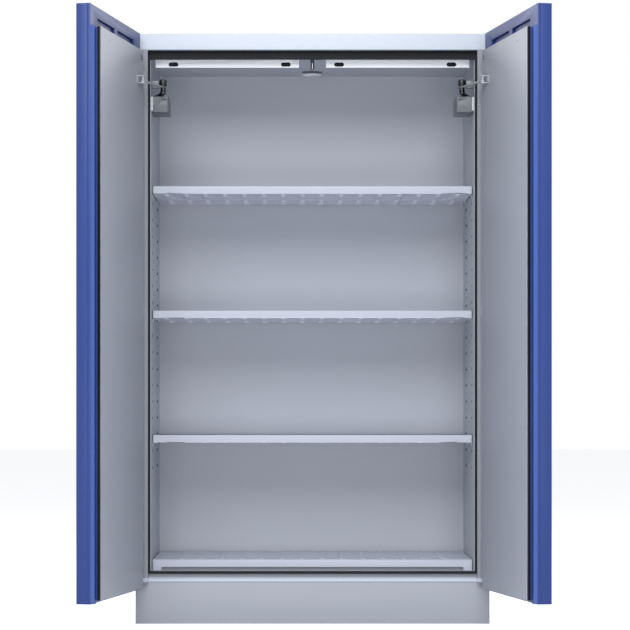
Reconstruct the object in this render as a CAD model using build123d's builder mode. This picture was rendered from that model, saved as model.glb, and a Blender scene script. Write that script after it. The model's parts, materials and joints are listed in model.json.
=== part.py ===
from build123d import *
import os

# Fire-resistant cabinet with two wing doors, three shelves and a bottom tray, doors held open.
# Millimetres. +Z is up, +X to the right, +Y into the cabinet. The origin is on the floor at the
# centre of the carcass footprint. Each door is drawn in its own plane, whose X runs from the
# hinge axis towards the free edge (t) and whose Y points into the cabinet when shut (n).

# Overall sizes
WIDTH = 1200.0
TOP = 1995.0
CARCASS_DEPTH = 570.0
PLINTH_TOP = 143.0

# Walls of the carcass, each from its outer face to the lining's inner face
SIDE_WALL = 51.4
BACK_WALL = 40.0
ROOF_WALL = 69.0
FLOOR_WALL = 34.0
CASING = 1.2
LINING = 1.0

# Plinth
PLINTH_SETBACK = 27.0
SKIRT = 1.5
SKIRT_CORNER = 4.0
PLINTH_WEB = 2.0
PLINTH_FLANGE = 40.0
BRACE_WIDTH = 60.0
BRACE_COUNT = 3
GUSSET = 112.0
GUSSET_HEIGHT = 40.0
GUSSET_THICKNESS = 4.0
FOOT_INSET = 76.0
FOOT_PAD_RADIUS = 25.0
FOOT_PAD_HEIGHT = 6.0
FOOT_STUD_RADIUS = 6.0
FOOT_STUD_TOP = 66.0
FOOT_NUT_ACROSS = 19.0
FOOT_NUT_HEIGHT = 10.0
FOOT_HOLE_CLEARANCE = 0.3

# Front frame and its seal
FRAME_DEPTH = 36.0
FRAME_WALL = 2.0
STILE_WIDTH = 43.0
HEAD_HEIGHT = 55.0
SILL_HEIGHT = 26.5
SILL_SETBACK = 32.0
SILL_STEP = 8.0
SILL_STEP_HEIGHT = 10.0
SILL_ROUND = 6.0
SEAL_SETBACK = 20.4
SEAL_SIDE = 7.0
SEAL_HEAD = 28.0
SEAL_SILL = 9.0

# Shelves and bottom tray
TRAY_HEIGHT = 36.5
TOP_ROOM_EXTRA = 11.7
SHELF_NAMES = ("shelf_lower", "shelf_middle", "shelf_upper")
SHELF_SIDE_GAP = 2.6
SHELF_SETBACK = 90.0
SHELF_REAR_GAP = 15.0
SHELF_SHEET = 1.2
SHELF_LIP = 25.5
SHELF_ROUND = 2.0
SHELF_HEM = 7.0
BEAD_COUNT = 15
BEAD_MARGIN = 45.75
BEAD_WEB = 17.7
BEAD_FRONT_EDGE = 25.0
BEAD_ROW_WEB = 25.0
BEAD_REAR_EDGE = 20.0
BEAD_ROW_SHARE = 0.648
BEAD_HEIGHT = 2.5
BEAD_TAPER = 40.0
RIB_COUNT = 14
RIB_MARGIN = 61.6
RIB_WIDTH = 16.0
RIB_END = 20.0
RIB_HEIGHT = 2.5
RIB_TAPER = 40.0
TRAY_LEG = 30.0

# Shelf slots in the side linings and the clips that sit in them
SLOT_STEPS = 15
SLOT_COUNT_BELOW = 4
SLOT_COUNT_ABOVE = 3
SLOT_WIDTH = 20.0
SLOT_HEIGHT = 8.0
SLOT_FRONT_INSET = 50.0
SLOT_REAR_INSET = 122.0
CLIP_REACH = 18.0
CLIP_THICKNESS = 3.0
CLIP_TAB = 13.0
CLIP_WIDTH = 18.0

# Vent in the ceiling and its spigot on the roof
VENT_FROM_BACK = 146.0
SPIGOT_RADIUS = 37.5
SPIGOT_WALL = 2.0
SPIGOT_HEIGHT = 45.0
SPIGOT_FLANGE_RADIUS = 55.0
SPIGOT_FLANGE = 1.5
SPIGOT_GAP = 0.3
VENT_PLATE_RADIUS = 33.0
VENT_PLATE_THICKNESS = 2.0
VENT_PLATE_DROP = 9.0
VENT_LEG_RADIUS = 46.0
VENT_LEG_WIDTH = 7.0
VENT_LEG_COUNT = 3

# Head bars and centre catch under the ceiling
BAR_SETBACK = 60.0
BAR_DROP = 36.5
BAR_INNER = 46.0
BAR_OUTER = 533.6
BAR_SHEET = 1.5
BAR_FLANGE = 20.0
BAR_LIP = 8.0
BAR_SLOT_LENGTH = 33.0
BAR_SLOT_WIDTH = 14.6
BAR_SLOT_HEIGHT = 10.5
BAR_SLOT_INSET = 44.6
BAR_SLOT_OUTSET = 60.6
CATCH_WIDTH = 13.0
CATCH_DEPTH = 13.0
CATCH_DROP = 42.0
CATCH_CUP = 20.0
CATCH_WALL = 2.0
CATCH_PIN_RADIUS = 3.0

# Doors: the leaf covers the frame, the slab behind it fills the opening
OPEN_ANGLE = 101.1
HINGE_SETBACK = 12.0
HINGE_INSET = 8.0
DOOR_GAP = 4.0
DOOR_SEAM = 1.0
LEAF_THICKNESS = 45.0
LEAF_TRAY = 35.0
LEAF_DROP = 24.0
DOOR_SHEET = 1.2
SLAB_THICKNESS = 24.0
SLAB_RISE = 9.0
SLAB_TOP_GAP = 12.0
SLAB_HINGE_INSET = 40.0
SLAB_FREE_INSET = 38.0
WINDOW_BORDER = 15.0
BEVEL_START = 3.0
BEVEL_RUN = 15.0
BEVEL_RISE = 8.5
STRIP_THICKNESS = 2.5
PANEL_SHEET = 1.2
BOARD_TOP_GAP = 3.0
VENT_SLOT_HEIGHT = 30.0
VENT_SLOT_RISE = 2.0
VENT_SLOT_COUNT = 2
VENT_SLOT_HINGE_EDGE = 33.0
VENT_SLOT_FREE_EDGE = 44.0
VENT_SLOT_WEB = 34.0
SCREW_RADIUS = 3.0
SCREW_HEAD = 1.8
SCREW_FREE_EDGE = 101.0
SCREW_HINGE_EDGE = 18.0
SCREW_DROP = 30.0
SCREW_PITCH = 9.5

# Hinges
HINGE_FROM_BOTTOM = 181.0
HINGE_FROM_TOP = 145.0
HINGE_EYE_RADIUS = 6.5
HINGE_EYE_LENGTH = 40.0
HINGE_PIN_RADIUS = 3.0
HINGE_RUNNING = 0.08
HINGE_ARM_HALF = 4.0
HINGE_PLATE = 2.5
HINGE_PLATE_OUT = 6.0
HINGE_PLATE_IN = 28.0
HINGE_POCKET = 52.0
HINGE_POCKET_REACH = 9.0
HINGE_LUG_GAP = 0.4
HINGE_LUG_HALF = 7.0

# Door closers: housing on the side lining, lever, knob and link to the door
PIVOT_T = 95.0
PIVOT_STANDOFF = 14.0
SPINDLE_INSET = 14.0
SPINDLE_SETBACK = 147.0
SPINDLE_RADIUS = 6.0
SPINDLE_LENGTH = 24.0
SPINDLE_RUNNING = 0.08
HOUSING_FROM_TOP = 202.5
HOUSING_HEIGHT = 54.0
HOUSING_WIDTH = 60.0
HOUSING_FRONT = 62.0
HOUSING_LENGTH = 142.0
HOUSING_ROUND = 8.0
HOUSING_EDGE = 1.5
BACKPLATE = 6.0
BACKPLATE_MARGIN = 16.0
BACKPLATE_DROP = 3.0
HOUSING_GROOVE_HEIGHT = 7.0
HOUSING_GROOVE_DEPTH = 5.0
HOUSING_GROOVE_WIDTH = 15.0
HOUSING_GROOVE_INSET = 10.0
LEVER_RISE = 4.5
LEVER_THICKNESS = 6.0
LEVER_WIDTH = 17.0
LEVER_HUB_RADIUS = 9.0
LEVER_HUB_GAP = 1.0
PIN_RADIUS = 4.0
PIN_RUNNING = 0.08
PIN_OPEN_GAP = 0.4
COLLAR_RADIUS = 6.5
LEVER_BOSS_RADIUS = 9.0
LINK_RISE = 15.0
LINK_SEAT_GAP = 0.3
LINK_THICKNESS = 4.0
LINK_WIDTH = 12.0
KNOB_RADIUS = 13.0
KNOB_RISE = 1.0
KNOB_HEIGHT = 22.0
KNOB_BORE = 11.0
KNOB_ROUND = 2.5
STOP_HEIGHT = 24.0
STOP_RISE = -6.0
STOP_HALF = 12.0
STOP_SHEET = 2.0
STOP_GAP = 0.3
BRACKET_PLATE = 2.0
BRACKET_HALF = 30.0
BRACKET_EAR = 3.0
BRACKET_EAR_RADIUS = 7.0
BRACKET_EAR_FOOT = 12.0
BRACKET_DROP = 7.0
BRACKET_HEIGHT = 26.0

# Pull and lock, right door only
PULL_EDGE = 91.0
PULL_WIDTH = 60.0
PULL_DROP = 97.0
PULL_HEIGHT = 160.0
PULL_DEPTH = 22.0
PULL_WALL = 2.0
PULL_RIM = 6.0
PULL_RIM_PROUD = 1.4
PULL_GRIP = 16.0
PULL_GRIP_THICKNESS = 3.0
LOCK_EDGE = 71.0
LOCK_DROP = 152.0
LOCK_RADIUS = 11.0
LOCK_RUNNING = 0.08
LOCK_PROUD = 1.5
LOCK_LENGTH = 52.0
LOCK_ROSE = 15.5
KEYWAY_WIDTH = 2.0
KEYWAY_LENGTH = 9.0
KEYWAY_DEPTH = 6.0
CAM_LENGTH = 18.0
CAM_HALF = 4.0
CAM_THICKNESS = 3.0
CAM_ROOM = 24.0
CAM_ROOM_TOP = 52.0
ROD_RADIUS = 3.0
ROD_GAP = 0.3
ROD_N = 20.0
ROD_LIFT = 40.0
ROD_SINK = 0.5
KEEPER_RADIUS = 6.5

# Places that follow from the sizes above
HALF = WIDTH / 2
FRONT = -CARCASS_DEPTH / 2
BACK = CARCASS_DEPTH / 2
ROOM_HALF = HALF - SIDE_WALL
ROOM_BACK = BACK - BACK_WALL
CEILING = TOP - ROOF_WALL
FLOOR = PLINTH_TOP + FLOOR_WALL
TRAY_TOP = FLOOR + TRAY_HEIGHT
FRAME_BACK = FRONT + FRAME_DEPTH
OPENING_HALF = HALF - STILE_WIDTH
OPENING_TOP = TOP - HEAD_HEIGHT
OPENING_BOTTOM = PLINTH_TOP + SILL_HEIGHT
SEAL_FRONT = FRONT + SEAL_SETBACK
SEAL_DEPTH = FRAME_DEPTH - LINING - SEAL_SETBACK
LINING_HALF = ROOM_HALF + LINING
CASING_HALF = HALF - CASING
VENT_Y = BACK - VENT_FROM_BACK
BAR_FRONT = FRONT + BAR_SETBACK
BAR_BOTTOM = CEILING - BAR_DROP
SHELF_HALF = ROOM_HALF - SHELF_SIDE_GAP
SHELF_FRONT = FRONT + SHELF_SETBACK
SHELF_BACK = ROOM_BACK - SHELF_REAR_GAP
SHELF_DEPTH = SHELF_BACK - SHELF_FRONT
SHELF_PITCH = (CEILING - TOP_ROOM_EXTRA - TRAY_TOP) / (len(SHELF_NAMES) + 1)
SHELF_TOPS = tuple(TRAY_TOP + SHELF_PITCH * (level + 1) for level in range(len(SHELF_NAMES)))
BEAD_PITCH = 2 * (SHELF_HALF - BEAD_MARGIN) / BEAD_COUNT
BEAD_SPAN = SHELF_DEPTH - BEAD_FRONT_EDGE - BEAD_ROW_WEB - BEAD_REAR_EDGE
BEAD_SPLIT = BEAD_FRONT_EDGE + BEAD_SPAN * BEAD_ROW_SHARE
BEAD_ROWS = ((BEAD_FRONT_EDGE, BEAD_SPLIT), (BEAD_SPLIT + BEAD_ROW_WEB, SHELF_DEPTH - BEAD_REAR_EDGE))
RIB_PITCH = 2 * (SHELF_HALF - RIB_MARGIN) / RIB_COUNT
SLOT_PITCH = SHELF_PITCH / SLOT_STEPS
SLOT_COLUMNS = (SHELF_FRONT + SLOT_FRONT_INSET, SHELF_BACK - SLOT_REAR_INSET)

# Door-plane places
HINGE_X = HALF - HINGE_INSET
HINGE_Y = FRONT - HINGE_SETBACK
LEAF_IN = HINGE_SETBACK - DOOR_GAP
LEAF_OUT = LEAF_IN - LEAF_THICKNESS
TRAY_IN = LEAF_OUT + LEAF_TRAY
LEAF_HINGE = -HINGE_INSET
LEAF_FREE = HINGE_X - DOOR_SEAM
LEAF_BOTTOM = PLINTH_TOP - LEAF_DROP
LEAF_MIDDLE = (LEAF_BOTTOM + TOP) / 2
SLAB_HINGE = SLAB_HINGE_INSET
SLAB_FREE = LEAF_FREE - SLAB_FREE_INSET
SLAB_BOTTOM = LEAF_BOTTOM + SLAB_RISE
SLAB_TOP = OPENING_TOP - SLAB_TOP_GAP
PANEL_IN = LEAF_IN + SLAB_THICKNESS
RIM_TOP = LEAF_IN + BEVEL_RISE
STRIP_BASE = PANEL_IN - PANEL_SHEET
PIVOT_N = PANEL_IN + PIVOT_STANDOFF
HINGE_HEIGHTS = (LEAF_BOTTOM + HINGE_FROM_BOTTOM, LEAF_MIDDLE, TOP - HINGE_FROM_TOP)
HOUSING_TOP = TOP - HOUSING_FROM_TOP
VENT_SLOT_START = SLAB_HINGE + VENT_SLOT_HINGE_EDGE
VENT_SLOT_PITCH = (SLAB_FREE - VENT_SLOT_FREE_EDGE - VENT_SLOT_START + VENT_SLOT_WEB) / VENT_SLOT_COUNT
PULL_T = LEAF_FREE - PULL_EDGE
PULL_BOTTOM = LEAF_MIDDLE - PULL_DROP
LOCK_T = LEAF_FREE - LOCK_EDGE
LOCK_Z = LEAF_MIDDLE - LOCK_DROP

# The left door stands open by turning about its hinge axis
left_door = Plane((-HINGE_X, HINGE_Y, 0)).rotated((0, 0, -OPEN_ANGLE))

# The closer's lever and link make a parallelogram with the door: hinge axis, door pivot,
# lever pin and spindle. The lever keeps the door's angle and the link only shifts.
hinge_axis = Vector(-HINGE_X, HINGE_Y, 0)
door_pivot = left_door.from_local_coords(Vector(PIVOT_T, PIVOT_N, 0))
spindle = Vector(-ROOM_HALF + SPINDLE_INSET, FRONT + SPINDLE_SETBACK, 0)
lever_pin = spindle + door_pivot - hinge_axis
LEVER_BOTTOM = HOUSING_TOP + LEVER_RISE
LEVER_TOP = LEVER_BOTTOM + LEVER_THICKNESS
LINK_BOTTOM = LEVER_TOP + LINK_RISE
LINK_TOP = LINK_BOTTOM + LINK_THICKNESS
KNOB_BOTTOM = LINK_TOP + KNOB_RISE
BRACKET_BOTTOM = LINK_BOTTOM - BRACKET_DROP


def upright(y):
    """Vertical plane at depth y, with X to the right and its own Y up."""
    return Plane.XZ.offset(-y)


def rect(xs, ys, mode=Mode.ADD):
    """Rectangle between two pairs of limits, in the running sketch."""
    with Locations(((xs[0] + xs[1]) / 2, (ys[0] + ys[1]) / 2)):
        Rectangle(xs[1] - xs[0], ys[1] - ys[0], mode=mode)


def block(plane, xs, ys, zs, mode=Mode.ADD):
    """Rectangular body between three pairs of limits, in the axes of a plane."""
    with BuildSketch(plane.offset(zs[0])) as section:
        rect(xs, ys)
    extrude(section.sketch, amount=zs[1] - zs[0], mode=mode)


def disc(plane, centre, radius, zs, mode=Mode.ADD):
    """Round body about a centre, between two heights over a plane."""
    with BuildSketch(plane.offset(zs[0])) as section:
        with Locations(Vector(centre)):
            Circle(radius)
    extrude(section.sketch, amount=zs[1] - zs[0], mode=mode)


def bar(start, end, width, zs):
    """Flat level bar with round ends between two centres."""
    middle = (start + end) * 0.5
    run = end - start
    with BuildSketch(Plane((middle.X, middle.Y, zs[0]), x_dir=run, z_dir=(0, 0, 1))) as section:
        SlotCenterToCenter(run.length, width)
    extrude(section.sketch, amount=zs[1] - zs[0])


pieces = {}

# Plinth: a channel ring with front-to-back braces, gussets for the feet and a skirt round it
ring_x = (-HALF + SKIRT, HALF - SKIRT)
ring_y = (FRONT + PLINTH_SETBACK + SKIRT, BACK)
web_x = (ring_x[0] + PLINTH_WEB, ring_x[1] - PLINTH_WEB)
web_y = (ring_y[0] + PLINTH_WEB, ring_y[1] - PLINTH_WEB)
well_x = (ring_x[0] + PLINTH_FLANGE, ring_x[1] - PLINTH_FLANGE)
well_y = (ring_y[0] + PLINTH_FLANGE, ring_y[1] - PLINTH_FLANGE)
foot_x = HALF - FOOT_INSET
foot_ys = (ring_y[0] + FOOT_INSET, ring_y[1] - FOOT_INSET)

with BuildPart() as plinth_frame:
    block(Plane.XY, ring_x, ring_y, (0, PLINTH_TOP))
    block(Plane.XY, web_x, web_y, (PLINTH_WEB, PLINTH_TOP - PLINTH_WEB), Mode.SUBTRACT)
    block(Plane.XY, well_x, well_y, (0, PLINTH_TOP), Mode.SUBTRACT)
    for index in range(BRACE_COUNT):
        middle = (index - (BRACE_COUNT - 1) / 2) * WIDTH / (BRACE_COUNT + 1)
        brace_x = (middle - BRACE_WIDTH / 2, middle + BRACE_WIDTH / 2)
        trough_x = (brace_x[0] + PLINTH_WEB, brace_x[1] - PLINTH_WEB)
        block(Plane.XY, brace_x, web_y, (0, PLINTH_TOP))
        block(Plane.XY, trough_x, web_y, (PLINTH_WEB, PLINTH_TOP), Mode.SUBTRACT)
    with BuildSketch(Plane.XY.offset(GUSSET_HEIGHT)):
        for side in (-1, 1):
            near = sorted((side * (HALF - SKIRT), side * (HALF - SKIRT - GUSSET)))
            rect(near, (ring_y[0], ring_y[0] + GUSSET))
            rect(near, (ring_y[1] - GUSSET, ring_y[1]))
        with Locations([(side * foot_x, y) for side in (-1, 1) for y in foot_ys]):
            Circle(FOOT_STUD_RADIUS + FOOT_HOLE_CLEARANCE, mode=Mode.SUBTRACT)
    extrude(amount=GUSSET_THICKNESS)
pieces["plinth_frame"] = plinth_frame

with BuildPart() as plinth_skirt:
    with BuildSketch():
        rect((-HALF, HALF), (FRONT + PLINTH_SETBACK, BACK))
        fillet(vertices().group_by(Axis.Y)[0], SKIRT_CORNER)
        rect((-HALF + SKIRT, HALF - SKIRT), (FRONT + PLINTH_SETBACK + SKIRT, BACK), Mode.SUBTRACT)
    extrude(amount=PLINTH_TOP)
pieces["plinth_skirt"] = plinth_skirt

with BuildPart() as foot:
    with BuildSketch(Plane.XZ):
        rect((0, FOOT_PAD_RADIUS), (0, FOOT_PAD_HEIGHT))
        rect((0, FOOT_STUD_RADIUS), (0, FOOT_STUD_TOP))
    revolve(axis=Axis.Z)
    with BuildSketch(Plane.XY.offset(GUSSET_HEIGHT - FOOT_NUT_HEIGHT)):
        RegularPolygon(FOOT_NUT_ACROSS / 2, 6, major_radius=False)
    extrude(amount=FOOT_NUT_HEIGHT)

with BuildPart() as levelling_feet:
    with Locations([(side * foot_x, y) for side in (-1, 1) for y in foot_ys]):
        add(foot.part)
pieces["levelling_feet"] = levelling_feet

# Outer casing sheets and the insulation boards behind them
spigot_hole = SPIGOT_RADIUS + SPIGOT_GAP
vent = (0, VENT_Y)

with BuildPart() as outer_left:
    block(Plane.XY, (-HALF, -CASING_HALF), (FRAME_BACK, BACK), (PLINTH_TOP, TOP - CASING))
pieces["outer_left"] = outer_left

with BuildPart() as outer_back:
    block(Plane.XY, (-CASING_HALF, CASING_HALF), (BACK - CASING, BACK), (PLINTH_TOP, TOP - CASING))
pieces["outer_back"] = outer_back

with BuildPart() as outer_roof:
    block(Plane.XY, (-HALF, HALF), (FRAME_BACK, BACK), (TOP - CASING, TOP))
    disc(Plane.XY, vent, spigot_hole, (TOP - CASING, TOP), Mode.SUBTRACT)
pieces["outer_roof"] = outer_roof

with BuildPart() as outer_base:
    block(Plane.XY, (-CASING_HALF, CASING_HALF), (FRAME_BACK, BACK - CASING), (PLINTH_TOP, PLINTH_TOP + CASING))
pieces["outer_base"] = outer_base

board_z = (PLINTH_TOP + CASING, TOP - CASING)
with BuildPart() as insulation_left:
    block(Plane.XY, (-CASING_HALF, -LINING_HALF), (FRAME_BACK, BACK - CASING), board_z)
pieces["insulation_left"] = insulation_left

with BuildPart() as insulation_back:
    block(Plane.XY, (-LINING_HALF, LINING_HALF), (ROOM_BACK + LINING, BACK - CASING), board_z)
pieces["insulation_back"] = insulation_back

board_y = (FRAME_BACK, ROOM_BACK + LINING)
with BuildPart() as insulation_roof:
    block(Plane.XY, (-LINING_HALF, LINING_HALF), board_y, (CEILING + LINING, TOP - CASING))
    disc(Plane.XY, vent, spigot_hole, (CEILING + LINING, TOP - CASING), Mode.SUBTRACT)
pieces["insulation_roof"] = insulation_roof

with BuildPart() as insulation_base:
    block(Plane.XY, (-LINING_HALF, LINING_HALF), board_y, (PLINTH_TOP + CASING, FLOOR - LINING))
pieces["insulation_base"] = insulation_base

# Inner lining: each sheet has a flange that backs the seal at the front
flange_y = (FRAME_BACK - LINING, FRAME_BACK)
slot_base = SHELF_TOPS[0] - SHELF_LIP - CLIP_THICKNESS / 2
slot_count = SLOT_STEPS * (len(SHELF_NAMES) - 1) + SLOT_COUNT_BELOW + SLOT_COUNT_ABOVE

with BuildPart() as lining_left:
    with BuildSketch(Plane.XY.offset(FLOOR)):
        rect((-LINING_HALF, -ROOM_HALF), (flange_y[0], ROOM_BACK))
        rect((-OPENING_HALF, -ROOM_HALF), flange_y)
    extrude(amount=CEILING - FLOOR)
    with BuildSketch(Plane.YZ.offset(-LINING_HALF)):
        middle = slot_base + SLOT_PITCH * ((slot_count - 1) / 2 - SLOT_COUNT_BELOW)
        with Locations((sum(SLOT_COLUMNS) / 2, middle)):
            with GridLocations(SLOT_COLUMNS[1] - SLOT_COLUMNS[0], SLOT_PITCH, 2, slot_count):
                Rectangle(SLOT_WIDTH, SLOT_HEIGHT)
    extrude(amount=LINING, mode=Mode.SUBTRACT)
pieces["lining_left"] = lining_left

with BuildPart() as lining_back:
    back_y = (ROOM_BACK, ROOM_BACK + LINING)
    block(Plane.XY, (-LINING_HALF, LINING_HALF), back_y, (FLOOR - LINING, CEILING + LINING))
pieces["lining_back"] = lining_back

with BuildPart() as lining_ceiling:
    block(Plane.XY, (-LINING_HALF, LINING_HALF), (flange_y[0], ROOM_BACK), (CEILING, CEILING + LINING))
    block(Plane.XY, (-OPENING_HALF, OPENING_HALF), flange_y, (CEILING, OPENING_TOP))
    disc(Plane.XY, vent, spigot_hole, (CEILING, CEILING + LINING), Mode.SUBTRACT)
pieces["lining_ceiling"] = lining_ceiling

with BuildPart() as lining_floor:
    block(Plane.XY, (-LINING_HALF, LINING_HALF), (flange_y[0], ROOM_BACK), (FLOOR - LINING, FLOOR))
    block(Plane.XY, (-OPENING_HALF, OPENING_HALF), flange_y, (OPENING_BOTTOM, FLOOR))
pieces["lining_floor"] = lining_floor

# Front frame: a folded channel over head and stiles, with a stepped sill between the stiles
lock_x = HINGE_X - LOCK_T
keeper_y = HINGE_Y + ROD_N

with BuildPart() as front_frame:
    with BuildSketch(upright(FRONT)):
        rect((-HALF, HALF), (PLINTH_TOP, TOP))
        rect((-OPENING_HALF, OPENING_HALF), (PLINTH_TOP, OPENING_TOP), Mode.SUBTRACT)
    extrude(amount=-FRAME_DEPTH)
    with BuildSketch(upright(FRONT + FRAME_WALL)):
        rect((-HALF + FRAME_WALL, HALF - FRAME_WALL), (PLINTH_TOP + FRAME_WALL, TOP - FRAME_WALL))
        stile = OPENING_HALF + FRAME_WALL
        rect((-stile, stile), (PLINTH_TOP, OPENING_TOP + FRAME_WALL), Mode.SUBTRACT)
    extrude(amount=-FRAME_DEPTH, mode=Mode.SUBTRACT)
    with BuildSketch(Plane.YZ):
        sill_face = FRONT + SILL_SETBACK
        rect((sill_face, FRAME_BACK), (PLINTH_TOP, OPENING_BOTTOM))
        rect((sill_face - SILL_STEP, FRAME_BACK), (PLINTH_TOP, PLINTH_TOP + SILL_STEP_HEIGHT))
        fillet(vertices().group_by(Axis.X)[0].sort_by(Axis.Y)[-1], SILL_ROUND)
    extrude(amount=OPENING_HALF, both=True)
    disc(Plane.XY, (lock_x, keeper_y), KEEPER_RADIUS, (OPENING_TOP, OPENING_TOP + FRAME_WALL), Mode.SUBTRACT)
pieces["front_frame"] = front_frame

with BuildPart() as frame_seal:
    with BuildSketch(upright(SEAL_FRONT)):
        rect((-OPENING_HALF, OPENING_HALF), (OPENING_BOTTOM, OPENING_TOP))
        seal_half = OPENING_HALF - SEAL_SIDE
        seal_z = (OPENING_BOTTOM + SEAL_SILL, OPENING_TOP - SEAL_HEAD)
        rect((-seal_half, seal_half), seal_z, Mode.SUBTRACT)
    extrude(amount=-SEAL_DEPTH)
pieces["frame_seal"] = frame_seal


# Shelves: pressed sheet trays with a rim all round, whose floor has two rows of raised beads,
# and at the bottom a ribbed cover that stands on its sides over the floor
def pressed(columns, pitch, width, rows, top, height, taper):
    """Raises beads of one sheet thickness from a flat whose upper face is at top."""
    for base, shrink, mode in ((top, 0, Mode.ADD), (top - SHELF_SHEET, SHELF_SHEET, Mode.SUBTRACT)):
        with BuildSketch(Plane.XY.offset(base)) as row:
            for start, end in rows:
                with Locations((0, SHELF_FRONT + (start + end) / 2)):
                    with GridLocations(pitch, 1, columns, 1):
                        Rectangle(width - 2 * shrink, end - start - 2 * shrink)
        extrude(row.sketch, amount=height, taper=taper, mode=mode)


with BuildPart() as bottom_tray:
    block(Plane.XY, (-SHELF_HALF, SHELF_HALF), (SHELF_FRONT, SHELF_BACK), (FLOOR, TRAY_TOP))
    fillet(bottom_tray.edges().group_by(Axis.Z)[-1], SHELF_ROUND)
    inner_half = SHELF_HALF - SHELF_SHEET
    inner_y = (SHELF_FRONT + SHELF_SHEET, SHELF_BACK - SHELF_SHEET)
    block(Plane.XY, (-inner_half, inner_half), inner_y, (FLOOR, TRAY_TOP - SHELF_SHEET), Mode.SUBTRACT)
    pressed(RIB_COUNT, RIB_PITCH, RIB_WIDTH, ((RIB_END, SHELF_DEPTH - RIB_END),), TRAY_TOP, RIB_HEIGHT, RIB_TAPER)
    gap_half = SHELF_HALF - TRAY_LEG
    lip_y = (SHELF_FRONT, SHELF_FRONT + SHELF_SHEET)
    block(Plane.XY, (-gap_half, gap_half), lip_y, (FLOOR, TRAY_TOP - SHELF_LIP), Mode.SUBTRACT)
pieces["bottom_tray"] = bottom_tray

for name, top in zip(SHELF_NAMES, SHELF_TOPS):
    base = top - SHELF_LIP
    with BuildPart() as shelf:
        block(Plane.XY, (-SHELF_HALF, SHELF_HALF), (SHELF_FRONT, SHELF_BACK), (base, top))
        fillet(shelf.edges().group_by(Axis.Z)[0] + shelf.edges().group_by(Axis.Z)[-1], SHELF_ROUND)
        block(Plane.XY, (-inner_half, inner_half), inner_y, (base + SHELF_SHEET, top - SHELF_SHEET), Mode.SUBTRACT)
        hem_half = SHELF_HALF - SHELF_HEM
        hem_y = (SHELF_FRONT + SHELF_HEM, SHELF_BACK - SHELF_HEM)
        block(Plane.XY, (-hem_half, hem_half), hem_y, (top - SHELF_SHEET, top), Mode.SUBTRACT)
        pressed(BEAD_COUNT, BEAD_PITCH, BEAD_PITCH - BEAD_WEB, BEAD_ROWS, base + SHELF_SHEET, BEAD_HEIGHT, BEAD_TAPER)
    pieces[name] = shelf

# Shelf clips: a ledge with a tab down the wall and a tongue in the slot
with BuildPart() as clip:
    with BuildSketch(Plane.XZ):
        rect((0, CLIP_REACH), (-CLIP_THICKNESS, 0))
        rect((0, CLIP_THICKNESS), (-CLIP_TAB, 0))
        rect((-LINING, 0), (-CLIP_THICKNESS, 0))
    extrude(amount=CLIP_WIDTH / 2, both=True)

with BuildPart() as shelf_clips:
    for top in SHELF_TOPS:
        for y in SLOT_COLUMNS:
            with Locations((-ROOM_HALF, y, top - SHELF_LIP)):
                add(clip.part)
    mirror(about=Plane.YZ)
pieces["shelf_clips"] = shelf_clips

# Vent: spigot through the roof and a plate on three legs under the ceiling
with BuildPart() as vent_spigot:
    with BuildSketch(upright(VENT_Y)):
        rect((SPIGOT_RADIUS - SPIGOT_WALL, SPIGOT_RADIUS), (CEILING, TOP + SPIGOT_HEIGHT))
        rect((SPIGOT_RADIUS - SPIGOT_WALL, SPIGOT_FLANGE_RADIUS), (TOP, TOP + SPIGOT_FLANGE))
    revolve(axis=Axis((0, VENT_Y, 0), (0, 0, 1)))
pieces["vent_spigot"] = vent_spigot

with BuildPart() as vent_plate:
    plate_z = CEILING - VENT_PLATE_DROP
    foot_radius = VENT_LEG_RADIUS + VENT_LEG_WIDTH
    with Locations((0, VENT_Y, 0)):
        with Locations((0, 0, plate_z + VENT_PLATE_THICKNESS / 2)):
            Cylinder(VENT_PLATE_RADIUS, VENT_PLATE_THICKNESS)
        with PolarLocations(0, VENT_LEG_COUNT, start_angle=90):
            with Locations((VENT_LEG_RADIUS / 2, 0, plate_z + VENT_PLATE_THICKNESS / 2)):
                Box(VENT_LEG_RADIUS, VENT_LEG_WIDTH, VENT_PLATE_THICKNESS)
            with Locations((VENT_LEG_RADIUS - VENT_PLATE_THICKNESS / 2, 0, (plate_z + CEILING) / 2)):
                Box(VENT_PLATE_THICKNESS, VENT_LEG_WIDTH, VENT_PLATE_DROP)
            with Locations(((VENT_LEG_RADIUS + foot_radius) / 2, 0, CEILING - VENT_PLATE_THICKNESS / 2)):
                Box(foot_radius - VENT_LEG_RADIUS, VENT_LEG_WIDTH, VENT_PLATE_THICKNESS)
pieces["vent_plate"] = vent_plate

# Head bars: angle profiles hung from the ceiling, with two slots each
with BuildPart() as head_bar_left:
    with BuildSketch(Plane.YZ.offset(-BAR_OUTER)):
        rect((BAR_FRONT, BAR_FRONT + BAR_SHEET), (BAR_BOTTOM, CEILING))
        rect((BAR_FRONT, BAR_FRONT + BAR_FLANGE), (CEILING - BAR_SHEET, CEILING))
        rect((BAR_FRONT, BAR_FRONT + BAR_LIP), (BAR_BOTTOM, BAR_BOTTOM + BAR_SHEET))
    extrude(amount=BAR_OUTER - BAR_INNER)
    with BuildSketch(upright(BAR_FRONT)):
        with Locations([(x, BAR_BOTTOM + BAR_SLOT_HEIGHT)
                        for x in (-BAR_INNER - BAR_SLOT_INSET, -BAR_OUTER + BAR_SLOT_OUTSET)]):
            SlotOverall(BAR_SLOT_LENGTH, BAR_SLOT_WIDTH)
    extrude(amount=-BAR_SHEET, mode=Mode.SUBTRACT)
pieces["head_bar_left"] = head_bar_left

# Centre catch: a dark holder with a bright pin between the head bars
catch_y = (BAR_FRONT, BAR_FRONT + CATCH_DEPTH)
catch_half = CATCH_WIDTH / 2
catch_bottom = CEILING - CATCH_DROP
cup_z = (catch_bottom, catch_bottom + CATCH_CUP)
pin_centre = (0, BAR_FRONT + CATCH_PIN_RADIUS + CATCH_WALL)

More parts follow.
